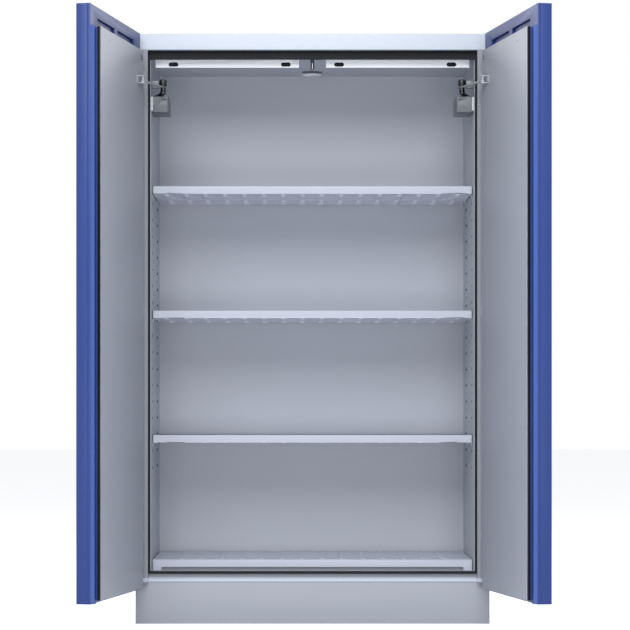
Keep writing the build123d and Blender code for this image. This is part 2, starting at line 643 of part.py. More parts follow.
with BuildPart() as catch_holder:
    block(Plane.XY, (-catch_half, catch_half), catch_y, cup_z)
    cup_x = (-catch_half + CATCH_WALL, catch_half - CATCH_WALL)
    cup_y = (catch_y[0], catch_y[1] - CATCH_WALL)
    block(Plane.XY, cup_x, cup_y, (cup_z[0] + CATCH_WALL, cup_z[1]), Mode.SUBTRACT)
    block(Plane.XY, (-catch_half, catch_half), (cup_y[1], catch_y[1]), (catch_bottom, CEILING))
pieces["catch_holder"] = catch_holder

with BuildPart() as catch_pin:
    disc(Plane.XY, pin_centre, CATCH_PIN_RADIUS, (catch_bottom + CATCH_WALL, CEILING))
pieces["catch_pin"] = catch_pin

# Hinges: eyes on the frame, and pins with lugs that seat in pockets of the leaf
with BuildPart() as hinge_brackets:
    for height in HINGE_HEIGHTS:
        with BuildSketch(Plane.XY.offset(height - HINGE_EYE_LENGTH / 2)):
            with Locations((-HINGE_X, HINGE_Y)):
                Circle(HINGE_EYE_RADIUS)
            rect((-HINGE_X - HINGE_ARM_HALF, -HINGE_X + HINGE_ARM_HALF), (HINGE_Y, FRONT))
            rect((-HINGE_X - HINGE_PLATE_OUT, -HINGE_X + HINGE_PLATE_IN), (FRONT - HINGE_PLATE, FRONT))
            with Locations((-HINGE_X, HINGE_Y)):
                Circle(HINGE_PIN_RADIUS + HINGE_RUNNING, mode=Mode.SUBTRACT)
        extrude(amount=HINGE_EYE_LENGTH)
    mirror(about=Plane.YZ)
pieces["hinge_brackets"] = hinge_brackets

with BuildPart() as left_hinge_pins:
    for height in HINGE_HEIGHTS:
        low, high = height - HINGE_POCKET / 2, height + HINGE_POCKET / 2
        lug = (HINGE_POCKET - HINGE_EYE_LENGTH) / 2 - HINGE_LUG_GAP
        half = (-HINGE_LUG_HALF, HINGE_LUG_HALF)
        disc(left_door, (0, 0), HINGE_PIN_RADIUS, (low, high))
        block(left_door, half, half, (low, low + lug))
        block(left_door, half, half, (high - lug, high))
pieces["left_hinge_pins"] = left_hinge_pins

with BuildPart() as hinge_pockets:
    for height in HINGE_HEIGHTS:
        pocket = (-HINGE_POCKET_REACH, HINGE_POCKET_REACH)
        block(left_door, pocket, pocket, (height - HINGE_POCKET / 2, height + HINGE_POCKET / 2))

# Door leaf: an outer tray, and an inner frame whose flange carries the slab
leaf_t = (LEAF_HINGE, LEAF_FREE)
leaf_z = (LEAF_BOTTOM, TOP)
hollow_t = (LEAF_HINGE + DOOR_SHEET, LEAF_FREE - DOOR_SHEET)
hollow_z = (LEAF_BOTTOM + DOOR_SHEET, TOP - DOOR_SHEET)
slab_t = (SLAB_HINGE, SLAB_FREE)
slab_z = (SLAB_BOTTOM, SLAB_TOP)

with BuildPart() as left_door_skin:
    block(left_door, leaf_t, (LEAF_OUT, TRAY_IN), leaf_z)
    block(left_door, hollow_t, (LEAF_OUT + DOOR_SHEET, TRAY_IN), hollow_z, Mode.SUBTRACT)
    add(hinge_pockets.part, mode=Mode.SUBTRACT)
pieces["left_door_skin"] = left_door_skin

with BuildPart() as left_door_frame:
    block(left_door, leaf_t, (TRAY_IN, LEAF_IN), leaf_z)
    block(left_door, hollow_t, (TRAY_IN, LEAF_IN - DOOR_SHEET), hollow_z, Mode.SUBTRACT)
    window_t = (SLAB_HINGE + WINDOW_BORDER, SLAB_FREE - WINDOW_BORDER)
    window_z = (SLAB_BOTTOM + WINDOW_BORDER, SLAB_TOP - WINDOW_BORDER)
    block(left_door, window_t, (TRAY_IN, LEAF_IN), window_z, Mode.SUBTRACT)
    for index in range(VENT_SLOT_COUNT):
        slot_t = VENT_SLOT_START + index * VENT_SLOT_PITCH
        slot_z = (SLAB_TOP + VENT_SLOT_RISE, SLAB_TOP + VENT_SLOT_RISE + VENT_SLOT_HEIGHT)
        slot_end = slot_t + VENT_SLOT_PITCH - VENT_SLOT_WEB
        block(left_door, (slot_t, slot_end), (TRAY_IN, LEAF_IN), slot_z, Mode.SUBTRACT)
    # The edge strip rises in a bevel from the flange and ends flat against the slab
    with BuildSketch(left_door.offset(LEAF_BOTTOM)):
        bevel_foot = LEAF_FREE - BEVEL_START
        with BuildLine():
            Polyline(
                (SLAB_FREE, LEAF_IN), (bevel_foot, LEAF_IN), (bevel_foot - BEVEL_RUN, RIM_TOP),
                (SLAB_FREE, RIM_TOP), close=True,
            )
        make_face()
    extrude(amount=SLAB_TOP - LEAF_BOTTOM)
    add(hinge_pockets.part, mode=Mode.SUBTRACT)
pieces["left_door_frame"] = left_door_frame

# Slab: grey panel folded round its edges, black strip outside the fold, boards inside
with BuildPart() as left_door_strip:
    block(left_door, slab_t, (RIM_TOP, STRIP_BASE), slab_z)
    fold_t = (SLAB_HINGE + STRIP_THICKNESS, SLAB_FREE - STRIP_THICKNESS)
    fold_z = (SLAB_BOTTOM + STRIP_THICKNESS, SLAB_TOP - STRIP_THICKNESS)
    block(left_door, fold_t, (RIM_TOP, STRIP_BASE), fold_z, Mode.SUBTRACT)
pieces["left_door_strip"] = left_door_strip

core_t = (fold_t[0] + PANEL_SHEET, fold_t[1] - PANEL_SHEET)
core_z = (fold_z[0] + PANEL_SHEET, fold_z[1] - PANEL_SHEET)
with BuildPart() as left_door_panel:
    block(left_door, slab_t, (STRIP_BASE, PANEL_IN), slab_z)
    block(left_door, fold_t, (LEAF_IN, STRIP_BASE), fold_z)
    block(left_door, core_t, (LEAF_IN, STRIP_BASE), core_z, Mode.SUBTRACT)
pieces["left_door_panel"] = left_door_panel

with BuildPart() as left_door_boards:
    leaf_board_z = (hollow_z[0], SLAB_TOP - BOARD_TOP_GAP)
    block(left_door, hollow_t, (LEAF_OUT + DOOR_SHEET, LEAF_IN - DOOR_SHEET), leaf_board_z)
    block(left_door, core_t, (LEAF_IN, STRIP_BASE), core_z)
    add(hinge_pockets.part, mode=Mode.SUBTRACT)
pieces["left_door_boards"] = left_door_boards

with BuildPart() as left_door_screws:
    screw_top = SLAB_TOP - SCREW_DROP
    with BuildSketch(Plane(left_door.from_local_coords(Vector(0, PANEL_IN, 0)), x_dir=left_door.x_dir,
                           z_dir=left_door.y_dir)):
        hinge_screw = SLAB_HINGE + SCREW_HINGE_EDGE
        with Locations((SLAB_FREE - SCREW_FREE_EDGE, -screw_top), (hinge_screw, -screw_top),
                       (hinge_screw, -screw_top - SCREW_PITCH)):
            Circle(SCREW_RADIUS)
    extrude(amount=SCREW_HEAD)
pieces["left_door_screws"] = left_door_screws

# Link bracket on the panel: two ears that hold the link's pin
with BuildPart() as left_link_bracket:
    bracket_top = BRACKET_BOTTOM + BRACKET_HEIGHT
    plate_n = (PANEL_IN, PANEL_IN + BRACKET_PLATE)
    plate_t = (PIVOT_T - BRACKET_HALF, PIVOT_T + BRACKET_HALF)
    block(left_door, plate_t, plate_n, (BRACKET_BOTTOM, bracket_top))
    for ear in (BRACKET_BOTTOM, bracket_top - BRACKET_EAR):
        with BuildSketch(left_door.offset(ear)):
            ear_t = (PIVOT_T - BRACKET_EAR_FOOT, PIVOT_T + BRACKET_EAR_FOOT)
            rect(ear_t, (PANEL_IN, PANEL_IN + BRACKET_PLATE))
            with Locations((PIVOT_T, PIVOT_N)):
                Circle(BRACKET_EAR_RADIUS)
            make_hull()
        extrude(amount=BRACKET_EAR)
    disc(left_door, (PIVOT_T, PIVOT_N), PIN_RADIUS, (BRACKET_BOTTOM, bracket_top))
    disc(left_door, (PIVOT_T, PIVOT_N), COLLAR_RADIUS, (BRACKET_BOTTOM, LINK_BOTTOM - LINK_SEAT_GAP))
pieces["left_link_bracket"] = left_link_bracket

# Closer on the left side lining
with BuildPart() as left_closer:
    housing_y = (FRONT + HOUSING_FRONT, FRONT + HOUSING_FRONT + HOUSING_LENGTH)
    housing_x = (-ROOM_HALF, -ROOM_HALF + HOUSING_WIDTH)
    with BuildSketch(Plane.XY.offset(HOUSING_TOP - HOUSING_HEIGHT)):
        rect(housing_x, housing_y)
        fillet(vertices().group_by(Axis.X)[-1], HOUSING_ROUND)
    extrude(amount=HOUSING_HEIGHT)
    chamfer(edges().group_by(Axis.Z)[-1].filter_by(lambda edge: edge.center().X > -ROOM_HALF + 1), HOUSING_EDGE)
    plate_y = (housing_y[0] - BACKPLATE_MARGIN, housing_y[1] + BACKPLATE_MARGIN)
    plate_z = (HOUSING_TOP - HOUSING_HEIGHT + BACKPLATE_DROP, HOUSING_TOP - BACKPLATE_DROP)
    with BuildSketch(Plane.YZ.offset(-ROOM_HALF)):
        rect(plate_y, plate_z)
        fillet(vertices(), HOUSING_ROUND)
    extrude(amount=BACKPLATE)
    groove_top = HOUSING_TOP - HOUSING_GROOVE_INSET
    groove_x = (housing_x[1] - HOUSING_ROUND - HOUSING_GROOVE_WIDTH, housing_x[1] - HOUSING_ROUND)
    groove_y = (housing_y[0], housing_y[0] + HOUSING_GROOVE_DEPTH)
    block(Plane.XY, groove_x, groove_y, (groove_top - HOUSING_GROOVE_HEIGHT, groove_top), Mode.SUBTRACT)
    bore_z = (LEVER_BOTTOM - SPINDLE_LENGTH, HOUSING_TOP)
    disc(Plane.XY, spindle, SPINDLE_RADIUS + SPINDLE_RUNNING, bore_z, Mode.SUBTRACT)
pieces["left_closer"] = left_closer

with BuildPart() as left_lever:
    bar(spindle, lever_pin, LEVER_WIDTH, (LEVER_BOTTOM, LEVER_TOP))
    disc(Plane.XY, spindle, SPINDLE_RADIUS, (LEVER_BOTTOM - SPINDLE_LENGTH, LEVER_BOTTOM))
    disc(Plane.XY, spindle, LEVER_HUB_RADIUS, (HOUSING_TOP + LEVER_HUB_GAP, LEVER_BOTTOM))
    disc(Plane.XY, lever_pin, PIN_RADIUS, (LEVER_TOP, KNOB_BOTTOM + KNOB_BORE))
    disc(Plane.XY, lever_pin, LEVER_BOSS_RADIUS, (LEVER_TOP, LINK_BOTTOM - LINK_SEAT_GAP))
pieces["left_lever"] = left_lever

with BuildPart() as left_knob:
    disc(Plane.XY, lever_pin, KNOB_RADIUS, (KNOB_BOTTOM, KNOB_BOTTOM + KNOB_HEIGHT))
    chamfer(edges().group_by(Axis.Z)[-1], KNOB_ROUND)
    disc(Plane.XY, lever_pin, PIN_RADIUS, (KNOB_BOTTOM, KNOB_BOTTOM + KNOB_BORE), Mode.SUBTRACT)
pieces["left_knob"] = left_knob

with BuildPart() as left_link:
    bar(door_pivot, lever_pin, LINK_WIDTH, (LINK_BOTTOM, LINK_TOP))
    disc(Plane.XY, door_pivot, PIN_RADIUS + PIN_RUNNING, (LINK_BOTTOM, LINK_TOP), Mode.SUBTRACT)
    disc(Plane.XY, lever_pin, PIN_RADIUS + PIN_OPEN_GAP, (LINK_BOTTOM, LINK_TOP), Mode.SUBTRACT)
pieces["left_link"] = left_link

# Door stops: hat brackets on the side linings that the knobs meet with the doors open
with BuildPart() as door_stops:
    stop_face = lever_pin.X - KNOB_RADIUS - STOP_GAP
    stop_bottom = KNOB_BOTTOM + STOP_RISE
    with BuildSketch(Plane.XY.offset(stop_bottom)):
        rect((-ROOM_HALF, stop_face), (lever_pin.Y - STOP_HALF, lever_pin.Y + STOP_HALF))
        leg = STOP_HALF - STOP_SHEET
        rect((-ROOM_HALF, stop_face - STOP_SHEET), (lever_pin.Y - leg, lever_pin.Y + leg), Mode.SUBTRACT)
    extrude(amount=STOP_HEIGHT)
    mirror(about=Plane.YZ)
pieces["door_stops"] = door_stops

# Pull and lock, drawn on the left door and mirrored to the right one
pull_t = (PULL_T, PULL_T + PULL_WIDTH)
pull_n = (LEAF_OUT, LEAF_OUT + PULL_DEPTH)
pull_z = (PULL_BOTTOM, PULL_BOTTOM + PULL_HEIGHT)
lock_plane = Plane(left_door.from_local_coords(Vector(LOCK_T, LEAF_OUT, LOCK_Z)), x_dir=left_door.x_dir,
                   z_dir=left_door.y_dir)
rod_z = (LOCK_Z + ROD_LIFT, SLAB_TOP - ROD_SINK)

with BuildPart() as pull_room:
    block(left_door, pull_t, pull_n, pull_z)

with BuildPart() as lock_room:
    disc(lock_plane, (0, 0), LOCK_RADIUS + LOCK_RUNNING, (0, LOCK_LENGTH))
    cam_t = (LOCK_T - CAM_ROOM, LOCK_T + CAM_ROOM)
    cam_n = (TRAY_IN, PANEL_IN - 2 * PANEL_SHEET)
    block(left_door, cam_t, cam_n, (LOCK_Z - CAM_ROOM, LOCK_Z + CAM_ROOM_TOP))
    disc(left_door, (LOCK_T, ROD_N), ROD_RADIUS + ROD_GAP, (LOCK_Z, SLAB_TOP))

with BuildPart() as pull:
    block(left_door, pull_t, pull_n, pull_z)
    rim_t = (pull_t[0] - PULL_RIM, pull_t[1] + PULL_RIM)
    rim_z = (pull_z[0] - PULL_RIM, pull_z[1] + PULL_RIM)
    block(left_door, rim_t, (LEAF_OUT - PULL_RIM_PROUD, LEAF_OUT), rim_z)
    cup_t = (pull_t[0] + PULL_WALL, pull_t[1] - PULL_WALL)
    cup_z = (pull_z[0] + PULL_WALL, pull_z[1] - PULL_WALL)
    cup_n = (LEAF_OUT - PULL_RIM_PROUD, pull_n[1] - PULL_WALL)
    block(left_door, cup_t, cup_n, cup_z, Mode.SUBTRACT)
    grip_n = (LEAF_OUT - PULL_RIM_PROUD, LEAF_OUT - PULL_RIM_PROUD + PULL_GRIP_THICKNESS)
    block(left_door, (cup_t[1] - PULL_GRIP, cup_t[1]), grip_n, cup_z)

with BuildPart() as lock_cylinder:
    disc(lock_plane, (0, 0), LOCK_RADIUS, (-LOCK_PROUD, LOCK_LENGTH - CAM_THICKNESS))
    disc(lock_plane, (0, 0), LOCK_ROSE, (-LOCK_PROUD, -LOCK_RUNNING))
    with BuildSketch(lock_plane.offset(-LOCK_PROUD)):
        Rectangle(KEYWAY_WIDTH, KEYWAY_LENGTH)
    extrude(amount=KEYWAY_DEPTH, mode=Mode.SUBTRACT)
    cam = (LOCK_LENGTH - CAM_THICKNESS, LOCK_LENGTH)
    block(lock_plane, (-CAM_LENGTH, CAM_HALF), (-CAM_HALF, CAM_HALF), cam)

with BuildPart() as lock_rod:
    disc(left_door, (LOCK_T, ROD_N), ROD_RADIUS, rod_z)
    chamfer(edges().group_by(Axis.Z)[-1], ROD_RADIUS / 3)


def mirrored(source, *rooms):
    """The right-hand copy of a left-hand piece, less the spaces that only the right one has."""
    with BuildPart() as copy:
        mirror(source.part, about=Plane.YZ)
        for room in rooms:
            mirror(room.part, about=Plane.YZ, mode=Mode.SUBTRACT)
    return copy


for stem in ("outer_{}", "insulation_{}", "lining_{}", "head_bar_{}", "{}_hinge_pins", "{}_link_bracket",
             "{}_door_screws", "{}_door_frame", "{}_closer", "{}_lever", "{}_knob", "{}_link"):
    pieces[stem.format("right")] = mirrored(pieces[stem.format("left")])

pieces["right_door_skin"] = mirrored(left_door_skin, pull_room, lock_room)
pieces["right_door_boards"] = mirrored(left_door_boards, pull_room, lock_room)
pieces["right_door_strip"] = mirrored(left_door_strip, lock_room)
pieces["right_door_panel"] = mirrored(left_door_panel, lock_room)
pieces["door_pull"] = mirrored(pull)
pieces["lock_cylinder"] = mirrored(lock_cylinder)
pieces["lock_rod"] = mirrored(lock_rod)

os.makedirs("parts", exist_ok=True)
for name, piece in pieces.items():
    piece.part.label = name
    export_step(piece.part, f"parts/{name}.step")
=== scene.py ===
"""Visual model of a free-standing battery cabinet with two wing doors held open.

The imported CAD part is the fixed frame. This script eases the folded edges of its sheet metal,
builds the pressed shelves, door strips, fasteners and fittings, gives every surface its finish,
and sets a plain studio round the cabinet. Sizes in the classes are millimetres, and Blender gets
metres. +Z is up, X to the right and +Y into the cabinet.
"""

from __future__ import annotations

import json
import logging
import math
from dataclasses import dataclass, replace
from enum import Enum
from typing import Mapping, Optional, Protocol, Sequence

import bmesh
import bpy
from mathutils import Matrix, Vector

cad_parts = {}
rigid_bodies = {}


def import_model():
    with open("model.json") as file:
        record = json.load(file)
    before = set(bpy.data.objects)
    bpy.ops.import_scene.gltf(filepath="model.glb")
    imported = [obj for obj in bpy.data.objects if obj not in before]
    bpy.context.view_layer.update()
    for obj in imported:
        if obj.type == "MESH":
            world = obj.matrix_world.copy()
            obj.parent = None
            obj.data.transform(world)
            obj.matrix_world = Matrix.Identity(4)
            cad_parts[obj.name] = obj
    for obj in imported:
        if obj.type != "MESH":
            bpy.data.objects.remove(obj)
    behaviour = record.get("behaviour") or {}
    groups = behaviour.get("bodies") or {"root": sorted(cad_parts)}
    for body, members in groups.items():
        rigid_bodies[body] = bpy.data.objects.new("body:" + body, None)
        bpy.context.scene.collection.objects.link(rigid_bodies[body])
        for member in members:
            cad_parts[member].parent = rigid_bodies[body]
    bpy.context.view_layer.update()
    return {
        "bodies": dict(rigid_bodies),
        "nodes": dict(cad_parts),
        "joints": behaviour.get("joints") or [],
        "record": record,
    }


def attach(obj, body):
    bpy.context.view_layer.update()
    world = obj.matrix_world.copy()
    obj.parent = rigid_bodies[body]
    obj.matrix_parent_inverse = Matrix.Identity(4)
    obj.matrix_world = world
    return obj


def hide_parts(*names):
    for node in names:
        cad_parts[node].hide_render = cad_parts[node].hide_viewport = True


LOG = logging.getLogger("battery_cabinet")
MM = 0.001
WELD_DISTANCE = 0.002 * MM
FULL_TURN = 2 * math.pi

# Sheet edges sharper than FOLD_DEG are folds, and faces that differ by less than FLAT_DEG are one.
# Shading breaks at the crease angles.
FLAT_DEG = 0.5
FOLD_DEG = 40.0
SHAPE_CREASE_DEG = 32.0
EASED_CREASE_DEG = 38.0

# Facets of the small round forms
CORNER_STEPS = 4
PAD_CORNER_STEPS = 3
DISC_POINTS = 64
HEAD_POINTS = 24

# Head of a fastener, in shares of its radius and height: its dome, and the rings of its recess
HEAD_DOME = ((1.0, 0.0), (1.0, 0.35), (0.93, 0.66), (0.78, 0.88), (0.62, 0.98))
HEAD_RECESS = ((0.40, 1.0), (0.36, 0.35))
# Cross recess: reach of an arm and of the root between two arms, and an arm's half angle
CROSS_ARM = 1.15
CROSS_ROOT = 0.42
CROSS_HALF_ANGLE = 0.3

Ring = Sequence[Vector]
Pair = tuple[float, float]
Triple = tuple[float, float, float]
Band = tuple[Optional[float], Optional[float]]
Seat = tuple[Vector, Vector]
Node = bpy.types.Node
Socket = bpy.types.NodeSocket
Tree = bpy.types.NodeTree
Mesh = bpy.types.Mesh
Object = bpy.types.Object
Shape = bmesh.types.BMesh


class Body(str, Enum):
    """Moving bodies of the frame."""

    CARCASS = "carcass"
    LEFT_DOOR = "left_door"
    RIGHT_DOOR = "right_door"
    LEFT_LEVER = "left_lever"
    RIGHT_LEVER = "right_lever"
    LEFT_LINK = "left_link"
    RIGHT_LINK = "right_link"
    LOCK = "lock_cylinder"
    ROD = "lock_rod"


class Slot(str, Enum):
    """Material slots of the record."""

    CASING = "casing_grey"
    PLINTH = "plinth_steel"
    LINING = "lining_grey"
    SHELF = "shelf_grey"
    BAR = "bar_white"
    BOARD = "board"
    SEAL = "seal_black"
    STRIP = "strip_black"
    DOOR = "door_blue"
    ZINC = "zinc"
    BRIGHT = "bright_steel"
    DARK = "dark_steel"
    CLOSER = "closer_grey"
    BLACK = "knob_black"


class Side(Enum):
    """Left or right half of the cabinet, as seen from the front."""

    LEFT = -1
    RIGHT = 1

    @property
    def word(self) -> str:
        """The side's name in lower case."""
        return self.name.lower()

    def body(self, stem: str) -> Body:
        """The side's own body, such as left_door for the stem door."""
        return Body(f"{self.word}_{stem}")


class Drive(Enum):
    """Recess in the head of a fastener."""

    HEX = "hex"
    CROSS = "cross"


# --------------------------------------------------------------------------------------------
# Colour and node helpers
# --------------------------------------------------------------------------------------------


def linear(code: str) -> tuple[float, float, float, float]:
    """Turns an sRGB hex colour into linear values.

    Args:
        code: Six hex digits.

    Returns:
        Linear red, green, blue and an alpha of 1.
    """
    channels = [int(code[place : place + 2], 16) / 255 for place in (0, 2, 4)]
    bent = [c / 12.92 if c <= 0.04045 else ((c + 0.055) / 1.055) ** 2.4 for c in channels]
    return (bent[0], bent[1], bent[2], 1.0)


def add_node(
    tree: Tree,
    kind: str,
    settings: Optional[Mapping[str, object]] = None,
    inputs: Optional[Mapping[object, object]] = None,
) -> Node:
    """Adds one node to a shader or geometry tree.

    Args:
        tree: The tree that gets the node.
        kind: Blender's class name of the node.
        settings: Attributes of the node itself.
        inputs: Socket name or index to a value, or to the output socket that feeds it.

    Returns:
        The new node.
    """
    made = tree.nodes.new(kind)
    for name, value in (settings or {}).items():
        setattr(made, name, value)
    for key, value in (inputs or {}).items():
        if isinstance(value, Socket):
            tree.links.new(value, made.inputs[key])
        else:
            made.inputs[key].default_value = value
    return made


# --------------------------------------------------------------------------------------------
# Finishes
# --------------------------------------------------------------------------------------------


@dataclass(frozen=True)
class Surface:
    """What every finish has: a name, a colour, its gloss and one fine relief.

    Attributes:
        name: Name of the Blender material.
        colour: Main colour as sRGB hex.
        second: Colour that the main one drifts to in faint clouds.
        cloud_mm: Size of those clouds.
        roughness: Lowest and highest roughness.
        grain_mm: Size of one cell of the relief.
        grain_depth_mm: Height of the relief.
        metallic: 1 for bare or plated metal.
        ior: Index of refraction; a metal keeps the default.
        sheen: Level of the reflection at the surface; 0.5 is that of the index of refraction.
    """

    name: str
    colour: str
    second: str
    cloud_mm: float
    roughness: Pair
    grain_mm: float
    grain_depth_mm: float
    metallic: float = 0.0
    ior: float = 1.5
    sheen: float = 0.5

    def material(self) -> bpy.types.Material:
        """Builds the finish on its first call and finds it again after that.

        Returns:
            The Blender material.
        """
        known = bpy.data.materials.get(self.name)
        if known is not None:
            return known
        made = bpy.data.materials.new(self.name)
        made.use_nodes = True
        tree = made.node_tree
        tree.nodes.clear()
        place = add_node(tree, "ShaderNodeTexCoord").outputs["Object"]
        clouds = add_node(
            tree,
            "ShaderNodeTexNoise",
            inputs={"Vector": place, "Scale": 1 / (self.cloud_mm * MM), "Detail": 2.0},
        ).outputs["Fac"]
        tint = add_node(
            tree,
            "ShaderNodeMix",
            {"data_type": "RGBA"},
            {"Factor": clouds, 6: linear(self.colour), 7: linear(self.second)},
        )
        gloss = add_node(
            tree,
            "ShaderNodeMapRange",
            inputs={"Value": clouds, "To Min": self.roughness[0], "To Max": self.roughness[1]},
        )
        grain = add_node(
            tree,
            "ShaderNodeTexNoise",
            inputs={"Vector": place, "Scale": 1 / (self.grain_mm * MM), "Detail": 3.0},
        )
        relief = add_node(
            tree,
            "ShaderNodeBump",
            inputs={
                "Strength": 1.0,
                "Distance": self.grain_depth_mm * MM,
                "Height": grain.outputs["Fac"],
            },
        )
        shader = add_node(
            tree,
            "ShaderNodeBsdfPrincipled",
            inputs={
                "Base Color": tint.outputs[2],
                "Roughness": gloss.outputs["Result"],
                "Metallic": self.metallic,
                "IOR": self.ior,
                "Specular IOR Level": self.sheen,
                "Normal": relief.outputs["Normal"],
            },
        )
        add_node(tree, "ShaderNodeOutputMaterial", inputs={"Surface": shader.outputs["BSDF"]})
        return made


# Polyester powder coat baked on sheet steel: satin, with an orange peel of 1 to 2 mm that is drawn
# at 5 mm so that it still breaks up a highlight at the size of this picture. The casing's is a
# cool light grey.
CASING_COAT = Surface("light_grey_powder_coat", "b9c0ca", "bec4ce", 420, (0.36, 0.44), 5.0, 0.02)
# The stiles between the doors and the seal take the darker tone of the door panels: painted
# shade, for the shade that lies between the open doors. The hinge parts on the stiles and the
# toe strip under the bottom tray wear this painted shade too.
STILE_SHADE_COAT = Surface("mid_grey_powder_coat", "83868f", "888b93", 420, (0.42, 0.50), 5.0, 0.02)
# The plinth is a shade darker than the casing above it.
PLINTH_COAT = Surface("plinth_grey_powder_coat", "989ba4", "9c9fa8", 380, (0.44, 0.52), 5.0, 0.02)
# The linings give the room a flat, even grey.
LINING_COAT = Surface("room_grey_powder_coat", "b2b5be", "b6b9c1", 380, (0.42, 0.50), 5.0, 0.02)
# The door panels are a little darker than the linings.
PANEL_COAT = Surface("panel_grey_powder_coat", "a3a7b1", "a7abb4", 400, (0.42, 0.50), 5.0, 0.02)
# The shelf rims have a touch more gloss, and show as pale bands across the room.
SHELF_COAT = Surface("shelf_grey_powder_coat", "b0b4c0", "b4b8c3", 300, (0.38, 0.46), 5.0, 0.02)
# The bottom tray is slightly lighter than the shelf rims.
TRAY_COAT = Surface("tray_grey_powder_coat", "b7bbc7", "bbbfca", 300, (0.38, 0.46), 5.0, 0.02)
# The shelf floors are a shade lighter than their rims, folded from the same sheet: painted light
# that brightens the shelves' undersides.
SHELF_FLOOR_LIGHT_COAT = Surface("shelf_floor_powder_coat", "cfd3df", "d3d7e2", 300, (0.38, 0.46), 5.0, 0.02)
# Near-white coat: the own colour of the head bars, the whitest pieces of the cabinet, and of the
# vent disc; on the ribs under the shelves it is a painted highlight.
BAR_WHITE_AND_HIGHLIGHT_COAT = Surface("white_powder_coat", "f6f8fc", "f8f9fc", 300, (0.38, 0.44), 5.0, 0.02)
# The doors' deep blue is smoother than the greys, and mirrors less of the studio.
BLUE_COAT = Surface(
    "deep_blue_powder_coat", "2b3e7a", "2e427f", 360, (0.30, 0.40), 5.0, 0.025, sheen=0.26
)
# The edge bevel of each door mirrors the bright room, so its coat is a step lighter: a painted
# reflection on the door's own blue.
BEVEL_REFLECTION_COAT = Surface(
    "bevel_blue_powder_coat", "4a63a8", "4d67ac", 360, (0.30, 0.40), 5.0, 0.025, sheen=0.26
)
# Sprayed paint of the closer housings and door stops: a smooth dark grey.
CLOSER_COAT = Surface("silver_grey_paint", "5a5d63", "606369", 60, (0.26, 0.34), 2.5, 0.012)
# Primed steel under the plinth: matt black dip primer with a slight drag.
PRIMER = Surface("black_dip_primer", "26272a", "2d2e31", 150, (0.50, 0.62), 4.0, 0.03)
# Zinc plate: cold grey metal whose bloom changes its gloss in patches of about two centimetres.
ZINC_PLATE = Surface("zinc_plate", "a3a6aa", "b0b3b6", 18, (0.26, 0.42), 1.6, 0.006, metallic=1.0)
# Lacquered links and brackets: a soft light grey that doesn't mirror the room.
LINK_LACQUER = Surface("silver_lacquer", "9b9ea4", "a3a6ac", 14, (0.30, 0.40), 1.2, 0.004)
# Polished steel of the catch's pin and the lock: nearly a mirror.
BRIGHT_STEEL = Surface(
    "polished_steel", "d2d3d5", "dcdddf", 30, (0.08, 0.16), 1.2, 0.002, metallic=1.0
)
# Oiled black oxide on the forged lever.
BLACK_OXIDE = Surface(
    "black_oxide_steel", "3a3b3e", "45464a", 25, (0.24, 0.34), 2.0, 0.01, metallic=1.0
)
# Extruded EPDM rubber: its pores scatter the light, so that it keeps only a faint chalky sheen.
EPDM = Surface(
    "extruded_epdm", "17181b", "1d1e21", 90, (0.62, 0.78), 2.2, 0.03, ior=1.52, sheen=0.18
)
# Intumescent strip: graphite core under a glossy black PVC film.
STRIP_FILM = Surface(
    "glossy_pvc_film", "0b0b0d", "121215", 70, (0.09, 0.15), 9.0, 0.02, ior=1.53, sheen=0.17
)
# Glass-filled nylon, moulded with a fine spark-eroded grain.
NYLON = Surface("moulded_black_nylon", "111114", "17171a", 60, (0.24, 0.34), 1.4, 0.02, ior=1.53)
# Near-black, matt colour of the insulation boards seen through the slots of the lining, and of
# the pads in those slots: painted shade for the slots' dark depth.
SLOT_SHADE_BLACK = Surface(
    "black_fleece_board", "202226", "2b2d31", 30, (0.80, 0.92), 2.0, 0.12, sheen=0.1
)


# --------------------------------------------------------------------------------------------
# Mesh and object helpers
# --------------------------------------------------------------------------------------------


def link_object(name: str, data: object) -> Object:
    """Makes an object of a mesh, lamp or camera and links it to the scene.

    Args:
        name: Name of the object.
        data: What the object shows.

    Returns:
        The object.
    """
    made = bpy.data.objects.new(name, data)
    bpy.context.scene.collection.objects.link(made)
    return made


def crease(mesh: Mesh, degrees: float) -> Mesh:
    """Shades a mesh smooth, apart from the edges sharper than an angle.

    Args:
        mesh: The mesh, which is changed.
        degrees: Edges sharper than this stay crisp.

    Returns:
        The same mesh.
    """
    mesh.shade_smooth()
    mesh.set_sharp_from_angle(angle=math.radians(degrees))
    return mesh


def released(shape: Shape, name: str) -> Mesh:
    """Turns a shape into a mesh and frees it.

    Args:
        shape: The shape.
        name: Name of the mesh.

    Returns:
        The mesh.
    """
    mesh = bpy.data.meshes.new(name)
    shape.to_mesh(mesh)
    shape.free()
    return mesh


def finished(shape: Shape, degrees: float = SHAPE_CREASE_DEG) -> Mesh:
    """Welds a shape, turns its faces outward and sets smooth shading below an angle.

    Args:
        shape: The shape, which is freed.
        degrees: Edges sharper than this stay crisp.

    Returns:
        The mesh.
    """
    bmesh.ops.remove_doubles(shape, verts=shape.verts, dist=WELD_DISTANCE)
    bmesh.ops.recalc_face_normals(shape, faces=shape.faces)
    return crease(released(shape, "shape"), degrees)


def join_rings(shape: Shape, rings: Sequence[Ring]) -> list[list[bmesh.types.BMVert]]:
    """Adds rings to a shape and joins each to the next with faces.

    Args:
        shape: Shape that gets the faces.
        rings: Rings of points in millimetres, each with the same number of points.

    Returns:
        The vertices of each ring.
    """
    rows = [[shape.verts.new(Vector(point) * MM) for point in ring] for ring in rings]
    count = len(rows[0])
    for low, high in zip(rows, rows[1:]):
        for index in range(count):
            after = (index + 1) % count
            shape.faces.new((low[index], low[after], high[after], high[index]))
    return rows


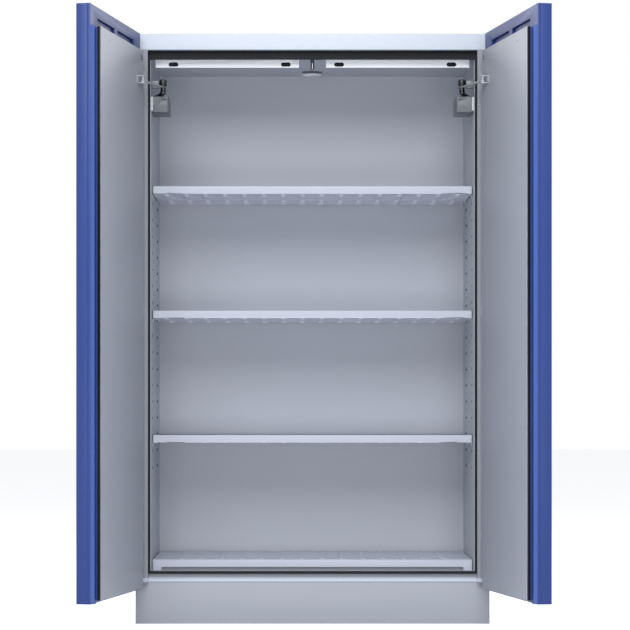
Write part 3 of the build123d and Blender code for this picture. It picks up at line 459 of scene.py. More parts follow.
def loft(rings: Sequence[Ring], cap_first: bool = True, cap_last: bool = True) -> Mesh:
    """Joins rings of equal length into one skin.

    Args:
        rings: Rings of points in millimetres, each with the same number of points.
        cap_first: Closes the first ring with a face.
        cap_last: Closes the last ring with a face.

    Returns:
        A mesh in metres with its normals outward.
    """
    shape = bmesh.new()
    rows = join_rings(shape, rings)
    if cap_first:
        shape.faces.new(list(reversed(rows[0])))
    if cap_last:
        shape.faces.new(rows[-1])
    return finished(shape)


def circle(radius: float, height: float, count: int) -> list[Vector]:
    """Ring of points on a level circle round Z, in millimetres."""
    steps = [FULL_TURN * index / count for index in range(count)]
    return [Vector((radius * math.cos(a), radius * math.sin(a), height)) for a in steps]


def rounded_rectangle(half_x: float, half_y: float, corner: float, steps: int) -> list[Pair]:
    """Points round a rectangle with round corners, counter-clockwise from its right side.

    Args:
        half_x: Half the width.
        half_y: Half the length.
        corner: Corner radius.
        steps: Segments in each corner.

    Returns:
        Pairs of coordinates, steps + 1 for each corner.
    """
    points = []
    for quarter, (sign_x, sign_y) in enumerate(((1, 1), (-1, 1), (-1, -1), (1, -1))):
        for step in range(steps + 1):
            angle = (quarter + step / steps) * math.pi / 2
            points.append(
                (
                    sign_x * (half_x - corner) + corner * math.cos(angle),
                    sign_y * (half_y - corner) + corner * math.sin(angle),
                )
            )
    return points


def outline_mesh(points: Sequence[Pair]) -> Mesh:
    """Makes a closed outline of edges in the XY plane, for a sweep's profile.

    Args:
        points: Corners in millimetres.

    Returns:
        A mesh of edges in metres.
    """
    mesh = bpy.data.meshes.new("outline")
    count = len(points)
    edges = [(index, (index + 1) % count) for index in range(count)]
    mesh.from_pydata([(x * MM, y * MM, 0) for x, y in points], edges, [])
    return mesh


def seat_points(seats: Sequence[Seat]) -> Mesh:
    """Makes a mesh of bare points that carries an aim for each.

    Args:
        seats: Place in millimetres and outward direction of each fastener.

    Returns:
        A mesh with one vertex for each seat and the attribute aim.
    """
    mesh = bpy.data.meshes.new("seats")
    mesh.from_pydata([Vector(place) * MM for place, _ in seats], [], [])
    aims = mesh.attributes.new("aim", "FLOAT_VECTOR", "POINT")
    for index, (_, aim) in enumerate(seats):
        aims.data[index].vector = aim
    return mesh


def recess_ring(drive: Drive, size: float, level: float) -> list[Vector]:
    """Ring of a fastener's recess at one level.

    Args:
        drive: Form of the recess.
        size: Half a hexagon's width across the flats; a cross's arm and root are shares of it.
        level: Height of the ring.

    Returns:
        The points, in millimetres.
    """
    ring = []
    for index in range(HEAD_POINTS):
        angle = FULL_TURN * index / HEAD_POINTS
        if drive is Drive.HEX:
            reach = size / math.cos((angle % (math.pi / 3)) - math.pi / 6)
        else:
            arm = abs(((angle + math.pi / 4) % (math.pi / 2)) - math.pi / 4)
            reach = size * (CROSS_ARM if arm < CROSS_HALF_ANGLE else CROSS_ROOT)
        ring.append(Vector((reach * math.cos(angle), reach * math.sin(angle), level)))
    return ring


def fastener_head(radius: float, height: float, drive: Drive) -> Mesh:
    """Low domed head of a screw or nut, standing on the level of its seat.

    Args:
        radius: Radius of the head.
        height: Height of the head.
        drive: Recess in its top.

    Returns:
        The mesh of the head, with its axis on Z.
    """
    rings = [circle(radius * share, height * level, HEAD_POINTS) for share, level in HEAD_DOME]
    rings += [recess_ring(drive, radius * share, height * level) for share, level in HEAD_RECESS]
    return loft(rings)


def slot_pad(half: Pair, corner: float, levels: Pair) -> Mesh:
    """Flat dark pad with round ends: painted shade for the dark depth of a slot.

    Args:
        half: Half its width and length.
        corner: Corner radius.
        levels: Lowest and highest level on its axis.

    Returns:
        The mesh of the pad, with its axis on Z.
    """
    outline = rounded_rectangle(*half, corner, PAD_CORNER_STEPS)
    return loft([[Vector((x, y, level)) for x, y in outline] for level in levels])


# --------------------------------------------------------------------------------------------
# Geometry Nodes recipes
# --------------------------------------------------------------------------------------------


class Recipe:
    """A Geometry Nodes tree with named inputs, which is baked to a plain mesh."""

    def __init__(self, name: str, inputs: Mapping[str, str]) -> None:
        """Opens the tree.

        Args:
            name: Name of the tree.
            inputs: Name of each input and its socket type.
        """
        self.tree = bpy.data.node_groups.new(name, "GeometryNodeTree")
        face = self.tree.interface
        face.new_socket("Geometry", in_out="INPUT", socket_type="NodeSocketGeometry")
        self.names = {
            word: face.new_socket(word, in_out="INPUT", socket_type=kind).identifier
            for word, kind in {**inputs, "Finish": "NodeSocketMaterial"}.items()
        }
        face.new_socket("Geometry", in_out="OUTPUT", socket_type="NodeSocketGeometry")
        self.given = add_node(self.tree, "NodeGroupInput").outputs

    def node(
        self, kind: str, settings: Optional[Mapping[str, object]] = None, **inputs: object
    ) -> Node:
        """Adds a node whose inputs are given by name, with underscores for spaces."""
        named = {word.replace("_", " "): value for word, value in inputs.items()}
        return add_node(self.tree, kind, settings, named)

    def close(self, shape: Socket) -> None:
        """Ends the tree: instances made real, welded, and given the finish.

        Args:
            shape: Output that carries the shape.
        """
        real = self.node("GeometryNodeRealizeInstances", Geometry=shape).outputs[0]
        welded = self.node("GeometryNodeMergeByDistance", Geometry=real, Distance=WELD_DISTANCE)
        dressed = self.node(
            "GeometryNodeSetMaterial", Geometry=welded.outputs[0], Material=self.given["Finish"]
        )
        add_node(self.tree, "NodeGroupOutput", inputs={0: dressed.outputs[0]})

    def bake(self, base: Mesh, values: Mapping[str, object], finish: Surface) -> Mesh:
        """Runs the tree on a base mesh.

        Args:
            base: Mesh that enters the tree.
            values: Value of each named input; a mesh goes in as an object for the bake's time.
            finish: Finish of the result.

        Returns:
            A plain mesh in the frame's axes.
        """
        patterns = {
            word: link_object("pattern", value)
            for word, value in values.items()
            if isinstance(value, Mesh)
        }
        carrier = link_object("carrier", base)
        modifier = carrier.modifiers.new("recipe", "NODES")
        modifier.node_group = self.tree
        for word, value in {**values, **patterns, "Finish": finish.material()}.items():
            modifier[self.names[word]] = value
        bpy.context.view_layer.update()
        evaluated = carrier.evaluated_get(bpy.context.evaluated_depsgraph_get())
        mesh = bpy.data.meshes.new_from_object(evaluated)
        carrier.modifiers.remove(modifier)
        for helper in (carrier, *patterns.values()):
            bpy.data.objects.remove(helper)
        return crease(mesh, SHAPE_CREASE_DEG)


def fastener_recipe() -> Recipe:
    """Opens the recipe that sets one head on every seat, along its aim.

    Returns:
        The recipe, which is baked on a mesh of seats.
    """
    recipe = Recipe("set_fasteners", {"Head": "NodeSocketObject"})
    head = recipe.node("GeometryNodeObjectInfo", Object=recipe.given["Head"])
    aim = recipe.node(
        "GeometryNodeInputNamedAttribute", {"data_type": "FLOAT_VECTOR"}, Name="aim"
    )
    turn = recipe.node("FunctionNodeAlignRotationToVector", {"axis": "Z"}, Vector=aim.outputs[0])
    points = recipe.node("GeometryNodeMeshToPoints", Mesh=recipe.given["Geometry"])
    heads = recipe.node(
        "GeometryNodeInstanceOnPoints",
        Points=points.outputs[0],
        Instance=head.outputs["Geometry"],
        Rotation=turn.outputs[0],
    )
    recipe.close(heads.outputs[0])
    return recipe


def tile_recipe() -> Recipe:
    """Opens the recipe that lays one pressed tile in a row across the width.

    Returns:
        The recipe, whose row is centred on X.
    """
    recipe = Recipe(
        "lay_pressed_tiles",
        {"Tile": "NodeSocketObject", "Count": "NodeSocketInt", "Pitch": "NodeSocketFloat"},
    )
    count, pitch = recipe.given["Count"], recipe.given["Pitch"]
    tile = recipe.node("GeometryNodeObjectInfo", Object=recipe.given["Tile"])
    step = recipe.node("ShaderNodeCombineXYZ", X=pitch)
    run = add_node(recipe.tree, "ShaderNodeMath", {"operation": "SUBTRACT"}, {0: count, 1: 1.0})
    for factor in (-0.5, pitch):
        run = add_node(
            recipe.tree, "ShaderNodeMath", {"operation": "MULTIPLY"}, {0: run.outputs[0], 1: factor}
        )
    start = recipe.node("ShaderNodeCombineXYZ", X=run.outputs[0])
    line = recipe.node(
        "GeometryNodeMeshLine",
        Count=count,
        Start_Location=start.outputs[0],
        Offset=step.outputs[0],
    )
    tiles = recipe.node(
        "GeometryNodeInstanceOnPoints", Points=line.outputs[0], Instance=tile.outputs["Geometry"]
    )
    recipe.close(tiles.outputs[0])
    return recipe


def sweep_recipe() -> Recipe:
    """Opens the recipe that sweeps a drawn profile round a level rectangle with round corners.

    Returns:
        The recipe, whose path is centred on the origin.
    """
    sizes = {word: "NodeSocketFloat" for word in ("Width", "Length", "Corner")}
    recipe = Recipe("sweep_round_rectangle", {"Profile": "NodeSocketObject", **sizes})
    path = recipe.node(
        "GeometryNodeCurvePrimitiveQuadrilateral",
        Width=recipe.given["Width"],
        Height=recipe.given["Length"],
    )
    bent = recipe.node(
        "GeometryNodeFilletCurve",
        {"mode": "POLY"},
        Curve=path.outputs[0],
        Radius=recipe.given["Corner"],
        Count=CORNER_STEPS,
    )
    drawn = recipe.node("GeometryNodeObjectInfo", Object=recipe.given["Profile"])
    outline = recipe.node("GeometryNodeMeshToCurve", Mesh=drawn.outputs["Geometry"])
    swept = recipe.node(
        "GeometryNodeCurveToMesh", Curve=bent.outputs[0], Profile_Curve=outline.outputs[0]
    )
    recipe.close(swept.outputs[0])
    return recipe


# --------------------------------------------------------------------------------------------
# Workshop: hands each piece to the frame
# --------------------------------------------------------------------------------------------


@dataclass(frozen=True)
class Easing:
    """How a CAD node becomes a piece with rounded folds.

    Attributes:
        node: CAD node, or its stem without the side's word.
        finish: Finish of the piece.
        slot: Material slot of the record; not used.
        width: Width of the rounding in millimetres.
        segments: Facets across the rounding; one facet is shaded flat.
        name: Name of the piece, if it isn't the node's own.
        band: Lowest and highest level to keep, where the piece is only a length of the node.
    """

    node: str
    finish: Surface
    slot: Slot
    width: float
    segments: int = 2
    name: str = ""
    band: Band = (None, None)

    def on(self, side: Side) -> Easing:
        """The same easing for the node of one side, such as left_lever for the stem lever."""
        return replace(self, node=f"{side.word}_{self.node}")


class Workshop:
    """Keeps the frame and the recipes, and hands each finished piece to its body."""

    def __init__(self, frame: Mapping[str, object]) -> None:
        """Keeps the loaded frame and opens the recipes.
        """
        self.nodes: Mapping[str, Object] = frame["nodes"]
        bodies = frame["record"]["behaviour"]["bodies"]
        self.homes = {name: Body(body) for body, names in bodies.items() for name in names}
        self.fasteners = fastener_recipe()
        self.tiles = tile_recipe()
        self.sweeps = sweep_recipe()

    def hand_over(
        self,
        mesh: Mesh,
        name: str,
        body: Body,
        finish: Surface,
        replaces: Sequence[str] = (),
    ) -> Object:
        """Makes an object of a mesh and gives it to the frame.

        Args:
            mesh: Finished mesh in the frame's axes, in metres.
            name: Name of the piece.
            body: Body that the piece rides on.
            finish: Finish of the whole piece.
            replaces: CAD nodes that the piece stands for.

        Returns:
            The object.
        """
        mesh.name = name
        mesh.materials.clear()
        mesh.materials.append(finish.material())
        piece = link_object(name, mesh)
        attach(piece, body.value)
        if replaces:
            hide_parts(*replaces)
        LOG.info("%s rides on %s with %d faces", name, body.value, len(mesh.polygons))
        return piece

    def ease(self, plan: Easing) -> Object:
        """Replaces a CAD node by a copy whose folded edges are rounded.

        Args:
            plan: The node, its finish and the rounding of its folds.

        Returns:
            The eased piece.
        """
        shape = bmesh.new()
        shape.from_mesh(self.nodes[plan.node].data)
        bmesh.ops.remove_doubles(shape, verts=shape.verts, dist=WELD_DISTANCE)
        bmesh.ops.dissolve_limit(
            shape,
            angle_limit=math.radians(FLAT_DEG),
            verts=shape.verts,
            edges=shape.edges,
            use_dissolve_boundaries=False,
        )
        fold = math.radians(FOLD_DEG)
        bmesh.ops.bevel(
            shape,
            geom=[e for e in shape.edges if e.is_manifold and e.calc_face_angle(0.0) > fold],
            offset=plan.width * MM,
            offset_type="OFFSET",
            segments=plan.segments,
            profile=0.5,
            affect="EDGES",
            clamp_overlap=True,
        )
        self.trim(shape, plan.band)
        mesh = released(shape, plan.node)
        if plan.segments > 1:
            crease(mesh, EASED_CREASE_DEG)
        else:
            mesh.shade_flat()
        name = plan.name or f"eased_{plan.node}"
        home = self.homes[plan.node]
        return self.hand_over(mesh, name, home, plan.finish, (plan.node,))

    @staticmethod
    def trim(shape: Shape, band: Band) -> None:
        """Cuts a shape to a band of levels and closes the cuts.

        Args:
            shape: The shape.
            band: Lowest and highest level to keep; None leaves that end as it is.
        """
        for level, upward in zip(band, (-1, 1)):
            if level is None:
                continue
            bmesh.ops.bisect_plane(
                shape,
                geom=[*shape.verts, *shape.edges, *shape.faces],
                plane_co=(0, 0, level * MM),
                plane_no=(0, 0, upward),
                clear_outer=True,
            )
            bmesh.ops.holes_fill(shape, edges=[edge for edge in shape.edges if edge.is_boundary])

    def dress(self, node: str, finish: Surface) -> None:
        """Gives a CAD node that stays as it is a better material.

        Args:
            node: CAD node.
            finish: Its finish.
        """
        piece = self.nodes[node]
        piece.data.materials.clear()
        piece.data.materials.append(finish.material())

    def set_heads(
        self,
        name: str,
        body: Body,
        seats: Sequence[Seat],
        head: Mesh,
        finish: Surface,
        replaces: Sequence[str] = (),
    ) -> Object:
        """Sets one fastener head on each seat and hands them over as one piece.

        Args:
            name: Name of the piece.
            body: Body that carries the heads.
            seats: Place in millimetres and outward direction of each head.
            head: Mesh of one head, on Z.
            finish: Finish of the heads.
            replaces: CAD nodes that the heads stand for.

        Returns:
            The piece.
        """
        mesh = self.fasteners.bake(seat_points(seats), {"Head": head}, finish)
        return self.hand_over(mesh, name, body, finish, replaces)


class Assembly(Protocol):
    """A sub-assembly that builds its own pieces."""

    def build(self, shop: Workshop) -> None:
        """Builds every piece and hands it to the workshop."""


# --------------------------------------------------------------------------------------------
# Shared places
# --------------------------------------------------------------------------------------------


@dataclass(frozen=True)
class Layout:
    """Places that several sub-assemblies share, as in the CAD part.

    Attributes:
        room_half: Inner face of a side lining.
        hinge_x: Hinge axis of the right door.
        hinge_y: Hinge axes of both doors.
        open_deg: How far the doors stand open in the frame.
    """

    room_half: float = 548.6
    hinge_x: float = 592.0
    hinge_y: float = -297.0
    open_deg: float = 101.1

    def door(self, side: Side) -> Matrix:
        """Places a door's own axes: t from the hinge, n into the cabinet when shut, z up.

        Args:
            side: Side of the door.

        Returns:
            Matrix from the door's axes to the frame, in millimetres.
        """
        turn = math.radians(-self.open_deg)
        along = Vector((math.cos(turn), math.sin(turn), 0))
        inward = Vector((-along.y, along.x, 0))
        axes = Matrix((along, inward, Vector((0, 0, 1)))).transposed().to_4x4()
        placed = Matrix.Translation((-self.hinge_x, self.hinge_y, 0)) @ axes
        return placed if side is Side.LEFT else Matrix.Diagonal((-1, 1, 1, 1)) @ placed


LAYOUT = Layout()
SHELF_TOPS = {"shelf_lower": 638.7, "shelf_middle": 1063.9, "shelf_upper": 1489.1}


# --------------------------------------------------------------------------------------------
# Sub-assemblies
# --------------------------------------------------------------------------------------------


@dataclass
class Casing:
    """Outer sheets, plinth, frame, linings and fittings of the carcass.

    Attributes:
        frame: Three lengths of the front frame: painted sill, stiles darker as painted shade,
            painted head.
        sheets: Folded sheets, from the outside inward.
        vent_disc: Radius, lowest and highest level of the light disc under the vent plate.
        disc_edge: Width and height of the disc's lower chamfer.
        vent_y: Depth of the vent's axis.
        fittings: Small parts on the sheets.
        boards: Insulation boards.
        slot_rows: Number of darkened slots in a column, the lowest one's level and their pitch.
            Every second slot shows dark.
        slot_columns: Name and depth of each column, and how far its pads stand proud.
        wall_pad: Half width, half length and corner of a side wall's pad.
        wall_pad_sunk: Level of the pad's hidden face.
        bar_slots: Distance of a head bar's two slots from the middle.
        bar_slot_z: Level of those slots.
        bar_inside: Depth of the face behind them.
        bar_pad: Half width, half length and corner of a head bar's pad.
        bar_pad_levels: Lowest and highest level of that pad.
    """

    frame: tuple[Easing, ...] = (
        Easing("front_frame", CASING_COAT, Slot.CASING, 1.0, 3, "frame_sill", (None, 156.0)),
        # The stiles' darker coat is painted shade between the open doors.
        Easing("front_frame", STILE_SHADE_COAT, Slot.CASING, 1.0, 3, "frame_stiles", (156.0, 1942.0)),
        Easing("front_frame", CASING_COAT, Slot.CASING, 1.0, 3, "frame_head", (1942.0, None)),
    )
    sheets: tuple[Easing, ...] = (
        Easing("outer_left", CASING_COAT, Slot.CASING, 0.4),
        Easing("outer_right", CASING_COAT, Slot.CASING, 0.4),
        Easing("outer_back", CASING_COAT, Slot.CASING, 0.4),
        Easing("outer_roof", CASING_COAT, Slot.CASING, 0.4),
        Easing("outer_base", CASING_COAT, Slot.CASING, 0.4),
        Easing("plinth_skirt", PLINTH_COAT, Slot.CASING, 0.4),
        Easing("plinth_frame", PRIMER, Slot.PLINTH, 0.4),
        Easing("lining_left", LINING_COAT, Slot.LINING, 0.3, 1),
        Easing("lining_right", LINING_COAT, Slot.LINING, 0.3, 1),
        Easing("lining_back", LINING_COAT, Slot.LINING, 0.3, 1),
        Easing("lining_ceiling", LINING_COAT, Slot.LINING, 0.3, 1),
        Easing("lining_floor", LINING_COAT, Slot.LINING, 0.3, 1),
        Easing("shelf_clips", LINING_COAT, Slot.ZINC, 0.4),
        Easing("head_bar_left", BAR_WHITE_AND_HIGHLIGHT_COAT, Slot.BAR, 0.4),
        Easing("head_bar_right", BAR_WHITE_AND_HIGHLIGHT_COAT, Slot.BAR, 0.4),
        Easing("frame_seal", EPDM, Slot.SEAL, 1.6, 3),
        Easing("vent_plate", LINING_COAT, Slot.LINING, 0.4),
    )
    vent_disc: Triple = (33.0, 1916.2, 1917.1)
    disc_edge: Pair = (0.8, 0.3)
    vent_y: float = 139.0
    fittings: tuple[Easing, ...] = (
        Easing("vent_spigot", CASING_COAT, Slot.CASING, 0.5),
        Easing("catch_holder", NYLON, Slot.BLACK, 0.5),
        Easing("levelling_feet", ZINC_PLATE, Slot.ZINC, 0.6),
        Easing("door_stops", CLOSER_COAT, Slot.BRIGHT, 0.8),
        Easing("hinge_brackets", STILE_SHADE_COAT, Slot.ZINC, 0.5),
    )
    boards: tuple[str, ...] = ("left", "right", "back", "roof", "base")
    slot_rows: tuple[int, float, float] = (18, 526.659, 56.694)
    slot_columns: tuple[tuple[str, float, float], ...] = (
        ("front", -145.0, 0.2),
        ("rear", 108.0, 1.6),
    )
    wall_pad: Triple = (3.9, 9.9, 3.8)
    wall_pad_sunk: float = -1.1
    bar_slots: Pair = (90.6, 473.0)
    bar_slot_z: float = 1900.0
    bar_inside: float = -223.4
    bar_pad: Triple = (17.5, 8.4, 8.3)
    bar_pad_levels: Pair = (-0.6, 0.0)

    def build(self, shop: Workshop) -> None:
        """Eases every sheet and fitting of the carcass and fills its slots.

        Args:
            shop: Workshop that takes the pieces.
        """
        for plan in (*self.frame, *self.sheets):
            shop.ease(plan)
        self.lay_vent_disc(shop)
        for plan in self.fittings:
            shop.ease(plan)
        shop.dress("catch_pin", BRIGHT_STEEL)
        # The boards' near-black is painted shade, so that the slots show dark.
        for board in self.boards:
            shop.dress(f"insulation_{board}", SLOT_SHADE_BLACK)
        self.shade_wall_slots(shop)
        self.shade_bar_slots(shop)

    def lay_vent_disc(self, shop: Workshop) -> None:
        """Lays a light disc under the vent's cover.

        Args:
            shop: Workshop that takes the piece.
        """
        radius, low, high = self.vent_disc
        inset, rise = self.disc_edge
        profile = ((radius - inset, low), (radius, low + rise), (radius, high))
        disc = loft([circle(reach, level, DISC_POINTS) for reach, level in profile])
        disc.transform(Matrix.Translation((0, self.vent_y * MM, 0)))
        shop.hand_over(disc, "vent_disc", Body.CARCASS, BAR_WHITE_AND_HIGHLIGHT_COAT, ("vent_plate",))

    def shade_wall_slots(self, shop: Workshop) -> None:
        """Fills every second slot of both side walls with a pad of painted shade, column by column.

        Args:
            shop: Workshop that takes the pieces.
        """
        count, lowest, pitch = self.slot_rows
        *half, corner = self.wall_pad
        for word, y, proud in self.slot_columns:
            seats = []
            for side in Side:
                across, inward = side.value * LAYOUT.room_half, Vector((-side.value, 0, 0))
                levels = [lowest + pitch * row for row in range(count)]
                seats += [(Vector((across, y, level)), inward) for level in levels]
            pad = slot_pad(half, corner, (self.wall_pad_sunk, proud))
            name = f"{word}_slot_shades"
            shop.set_heads(name, Body.CARCASS, seats, pad, SLOT_SHADE_BLACK)

    def shade_bar_slots(self, shop: Workshop) -> None:
        """Fills the slots of the head bars with pads of painted shade for their dark depth.

        Args:
            shop: Workshop that takes the piece.
        """
        seats = [
            (Vector((side.value * across, self.bar_inside, self.bar_slot_z)), Vector((0, -1, 0)))
            for side in Side
            for across in self.bar_slots
        ]
        *half, corner = self.bar_pad
        pad = slot_pad(half, corner, self.bar_pad_levels)
        shop.set_heads("bar_slot_shades", Body.CARCASS, seats, pad, SLOT_SHADE_BLACK)


@dataclass
class BottomTray:
    """Ribbed cover over the floor of the room, with the folded toe strip, in painted shade, behind
    its front lip.

    Attributes:
        cover: The ribbed cover.
        half_width: Half the toe strip's length.
        low: Its lower edge.
        high: Its upper face.
        face: Depth of its front face.
        flange: Depth of its upper flange.
        sheet: Thickness of its sheet.
        outer_bend: Chamfer of the fold's outside, in sheets.
        inner_bend: Chamfer of the fold's inside, in sheets.
    """

    cover: Easing = Easing("bottom_tray", TRAY_COAT, Slot.SHELF, 0.35)
    half_width: float = 544.5
    low: float = 177.2
    high: float = 188.6
    face: float = -184.0
    flange: float = 9.0
    sheet: float = 1.2
    outer_bend: float = 0.35
    inner_bend: float = 1.6

    def build(self, shop: Workshop) -> None:
        """Eases the cover and folds the toe strip.

        Args:
            shop: Workshop that takes the pieces.
        """
        shop.ease(self.cover)
        near, far, high, sheet = self.face, self.face + self.flange, self.high, self.sheet
        outer, inner = self.outer_bend * sheet, self.inner_bend * sheet
        section = (
            (near, self.low),
            (near, high - sheet),
            (near + outer, high - outer),
            (near + sheet, high),
            (far, high),
            (far, high - sheet),
            (near + inner, high - sheet),
            (near + sheet, high - inner),
            (near + sheet, self.low),
        )
        ends = (-self.half_width, self.half_width)
        strip = loft([[Vector((x, y, z)) for y, z in section] for x in ends])
        # The toe strip's darker grey is painted shade for the band under the tray's front lip.
        shop.hand_over(strip, "toe_strip", Body.CARCASS, STILE_SHADE_COAT, ("bottom_tray",))


@dataclass
class PressedShelf:
    """Tray shelf: a rim folded up all round and a floor with two rows of raised beads.

    Attributes:
        node: CAD node of the shelf.
        top: Level of its rim.
        half_width: Half its width.
        front: Depth of its front edge.
        depth: Size from front to back.
        sheet: Thickness of its sheet.
        seam: Distance at which the pressed tiles are welded.
        lip: Height of the rim.
        hem: Width of the rim's inward hem.
        bend: Outer radius of its folds.
        rim_corner: Outer radius of the rim's corners.
        least_corner: Smallest radius of the rim's corners inside.
        columns: Number of beads across.
        pitch: Pitch of the beads.
        web: Flat between two beads.
        rows: Front and rear limit of each row of beads, from the front edge.
        bead_corner: Corner radius of a bead.
        bead_steps: Segments in that corner.
        bead_wall: Inset from the bead's outline, and share of its rise there.
        rise: Height of a bead.
        ribs: Half width, front and rear limit of the near-white ribs under the web: painted
            highlights.
        rib_wall: Inset from a rib's outline, and its drop under the floor there.
        rib_flat: What keeps a rib's end from a full half circle.
        tile_crease_deg: Crease angle of a tile and a rib.
        floor_crease_deg: Crease angle of the whole floor.
    """

    node: str
    top: float
    half_width: float = 546.0
    front: float = -195.0
    depth: float = 425.0
    sheet: float = 1.2
    seam: float = 0.05
    lip: float = 25.5
    hem: float = 7.0
    bend: float = 2.4
    rim_corner: float = 4.0
    least_corner: float = 0.3
    columns: int = 15
    pitch: float = 66.7
    web: float = 17.7
    rows: tuple[Pair, ...] = ((25.0, 255.04), (280.04, 405.0))
    bead_corner: float = 15.0
    bead_steps: int = 5
    bead_wall: tuple[Pair, ...] = ((-1.2, 0.0), (0.0, 0.1), (4.5, 0.5), (9.0, 0.9), (10.6, 1.0))
    rise: float = 4.0
    ribs: tuple[Triple, ...] = ((7.5, 24.0, 112.0), (7.5, 262.0, 342.0), (11.0, 384.0, 414.0))
    rib_wall: tuple[Pair, ...] = ((0.0, -0.6), (0.4, 0.2), (1.4, 0.98), (3.0, 1.4))
    rib_flat: float = 0.1
    tile_crease_deg: float = 60.0
    floor_crease_deg: float = 50.0

    def build(self, shop: Workshop) -> None:
        """Makes the floor, rim and ribs, which replace the CAD node; the ribs' white is painted
        highlight.

        Args:
            shop: Workshop that takes the pieces.
        """
        ribs = self.lay_row(shop, self.rib_column(), self.columns + 1, BAR_WHITE_AND_HIGHLIGHT_COAT)
        for word, mesh, finish in (
            ("pressed", self.floor(shop), SHELF_FLOOR_LIGHT_COAT),
            ("rim_of", self.rim(), SHELF_COAT),
            ("ribs_of", ribs, BAR_WHITE_AND_HIGHLIGHT_COAT),
        ):
            name = f"{word}_{self.node}"
            shop.hand_over(mesh, name, Body.CARCASS, finish, (self.node,))

    def lay_row(self, shop: Workshop, tile: Mesh, count: int, finish: Surface) -> Mesh:
        """Lays a tile in a row at the beads' pitch.

        Args:
            shop: Workshop that holds the recipe.
            tile: Mesh of one tile.
            count: Number of tiles.
            finish: Finish of the row.

        Returns:
            The row as one mesh.
        """
        values = {"Tile": tile, "Count": count, "Pitch": self.pitch * MM}
        return shop.tiles.bake(bpy.data.meshes.new("base"), values, finish)

    def floor(self, shop: Workshop) -> Mesh:
        """Presses the floor and gives it the thickness of its sheet.

        Args:
            shop: Workshop that holds the recipe.

        Returns:
            The mesh of the floor.
        """
        shape = bmesh.new()
        shape.from_mesh(self.lay_row(shop, self.bead_column(), self.columns, SHELF_FLOOR_LIGHT_COAT))
        self.add_margins(shape)
        bmesh.ops.remove_doubles(shape, verts=shape.verts, dist=self.seam * MM)
        bmesh.ops.recalc_face_normals(shape, faces=shape.faces)
        if sum(face.normal.z for face in shape.faces) < 0:
            bmesh.ops.reverse_faces(shape, faces=shape.faces)
        bmesh.ops.solidify(shape, geom=shape.faces, thickness=self.sheet * MM)
        bmesh.ops.translate(shape, verts=shape.verts, vec=(0, self.front * MM, 0))
        return crease(released(shape, self.node), self.floor_crease_deg)

    def bead_column(self) -> Mesh:
        """Makes one column of the floor: both beads and the flat round them.

        Returns:
            The mesh of the column, with its front edge at the origin.
        """
        shape = bmesh.new()
        cuts = (0.0, (self.rows[0][1] + self.rows[1][0]) / 2, self.depth)
        for bead, field in zip(self.rows, zip(cuts, cuts[1:])):
            self.press(shape, field, bead)
        return finished(shape, self.tile_crease_deg)

    def press(self, shape: Shape, field: Pair, bead: Pair) -> None:
        """Adds one bead and its flat field to a tile.

        Args:
            shape: Shape that gets the faces.
            field: Limits of the field along the depth.
            bead: Limits of the bead along the depth.
        """
        middle = (bead[0] + bead[1]) / 2
        half = self.pitch / 2
        half_x, half_y = half - self.web / 2, (bead[1] - bead[0]) / 2
        base = self.top - self.lip + self.sheet
        near, far = (limit - middle for limit in field)
        border = [
            corner
            for corner in ((half, far), (-half, far), (-half, near), (half, near))
            for _ in range(self.bead_steps + 1)
        ]
        rings = [[Vector((x, y + middle, base)) for x, y in border]]
        for inset, share in self.bead_wall:
            corner = self.bead_corner - inset
            outline = rounded_rectangle(half_x - inset, half_y - inset, corner, self.bead_steps)
            level = base + self.rise * share
            rings.append([Vector((x, y + middle, level)) for x, y in outline])
        shape.faces.new(join_rings(shape, rings)[-1])

    def add_margins(self, shape: Shape) -> None:
        """Adds the flat strips between the outer beads and the side rims.

        Args:
            shape: Floor of the shelf.
        """
        reach = self.half_width * MM
        margin = (self.half_width - self.columns * self.pitch / 2) * MM
        level = (self.top - self.lip + self.sheet) * MM
        for sign in (-1, 1):
            inner = sign * (reach - margin)
            outer = sign * (reach - self.bend * MM)
            edge = ((inner, 0), (outer, 0), (outer, self.depth * MM), (inner, self.depth * MM))
            shape.faces.new([shape.verts.new((x, y, level)) for x, y in edge])

    def rib_column(self) -> Mesh:
        """Makes the ribs that stand proud under one web, front, junction and rear, as painted
        highlights.

        Returns:
            The mesh of the ribs.
        """
        under = self.top - self.lip
        shape = bmesh.new()
        for width, start, end in self.ribs:
            middle, half = self.front + (start + end) / 2, (end - start) / 2
            rings = []
            for inset, drop in self.rib_wall:
                corner = width - inset - self.rib_flat
                path = rounded_rectangle(width - inset, half - inset, corner, CORNER_STEPS)
                rings.append([Vector((x, y + middle, under - drop)) for x, y in path])
            shape.from_mesh(loft(rings))
        return finished(shape, self.tile_crease_deg)

    def rim_profile(self) -> list[Pair]:
        """Draws the folded rim: floor edge, wall and hem, one sheet thick.

        Returns:
            Inset from the shelf's edge and height over its underside, round the section.
        """
        bend, sheet, lip = self.bend, self.sheet, self.lip
        arc = [math.pi / 2 * step / CORNER_STEPS for step in range(CORNER_STEPS + 1)]
        outer = [(bend - bend * math.sin(a), bend - bend * math.cos(a)) for a in arc]
        outer += [(bend - bend * math.cos(a), lip - bend + bend * math.sin(a)) for a in arc]
        outer += [(self.hem, lip), (self.hem, lip - sheet)]
        inside = bend - sheet
        inner = [(bend - inside * math.sin(a), lip - bend + inside * math.cos(a)) for a in arc]
        inner += [(bend - inside * math.cos(a), bend - inside * math.sin(a)) for a in arc]
        return outer + inner

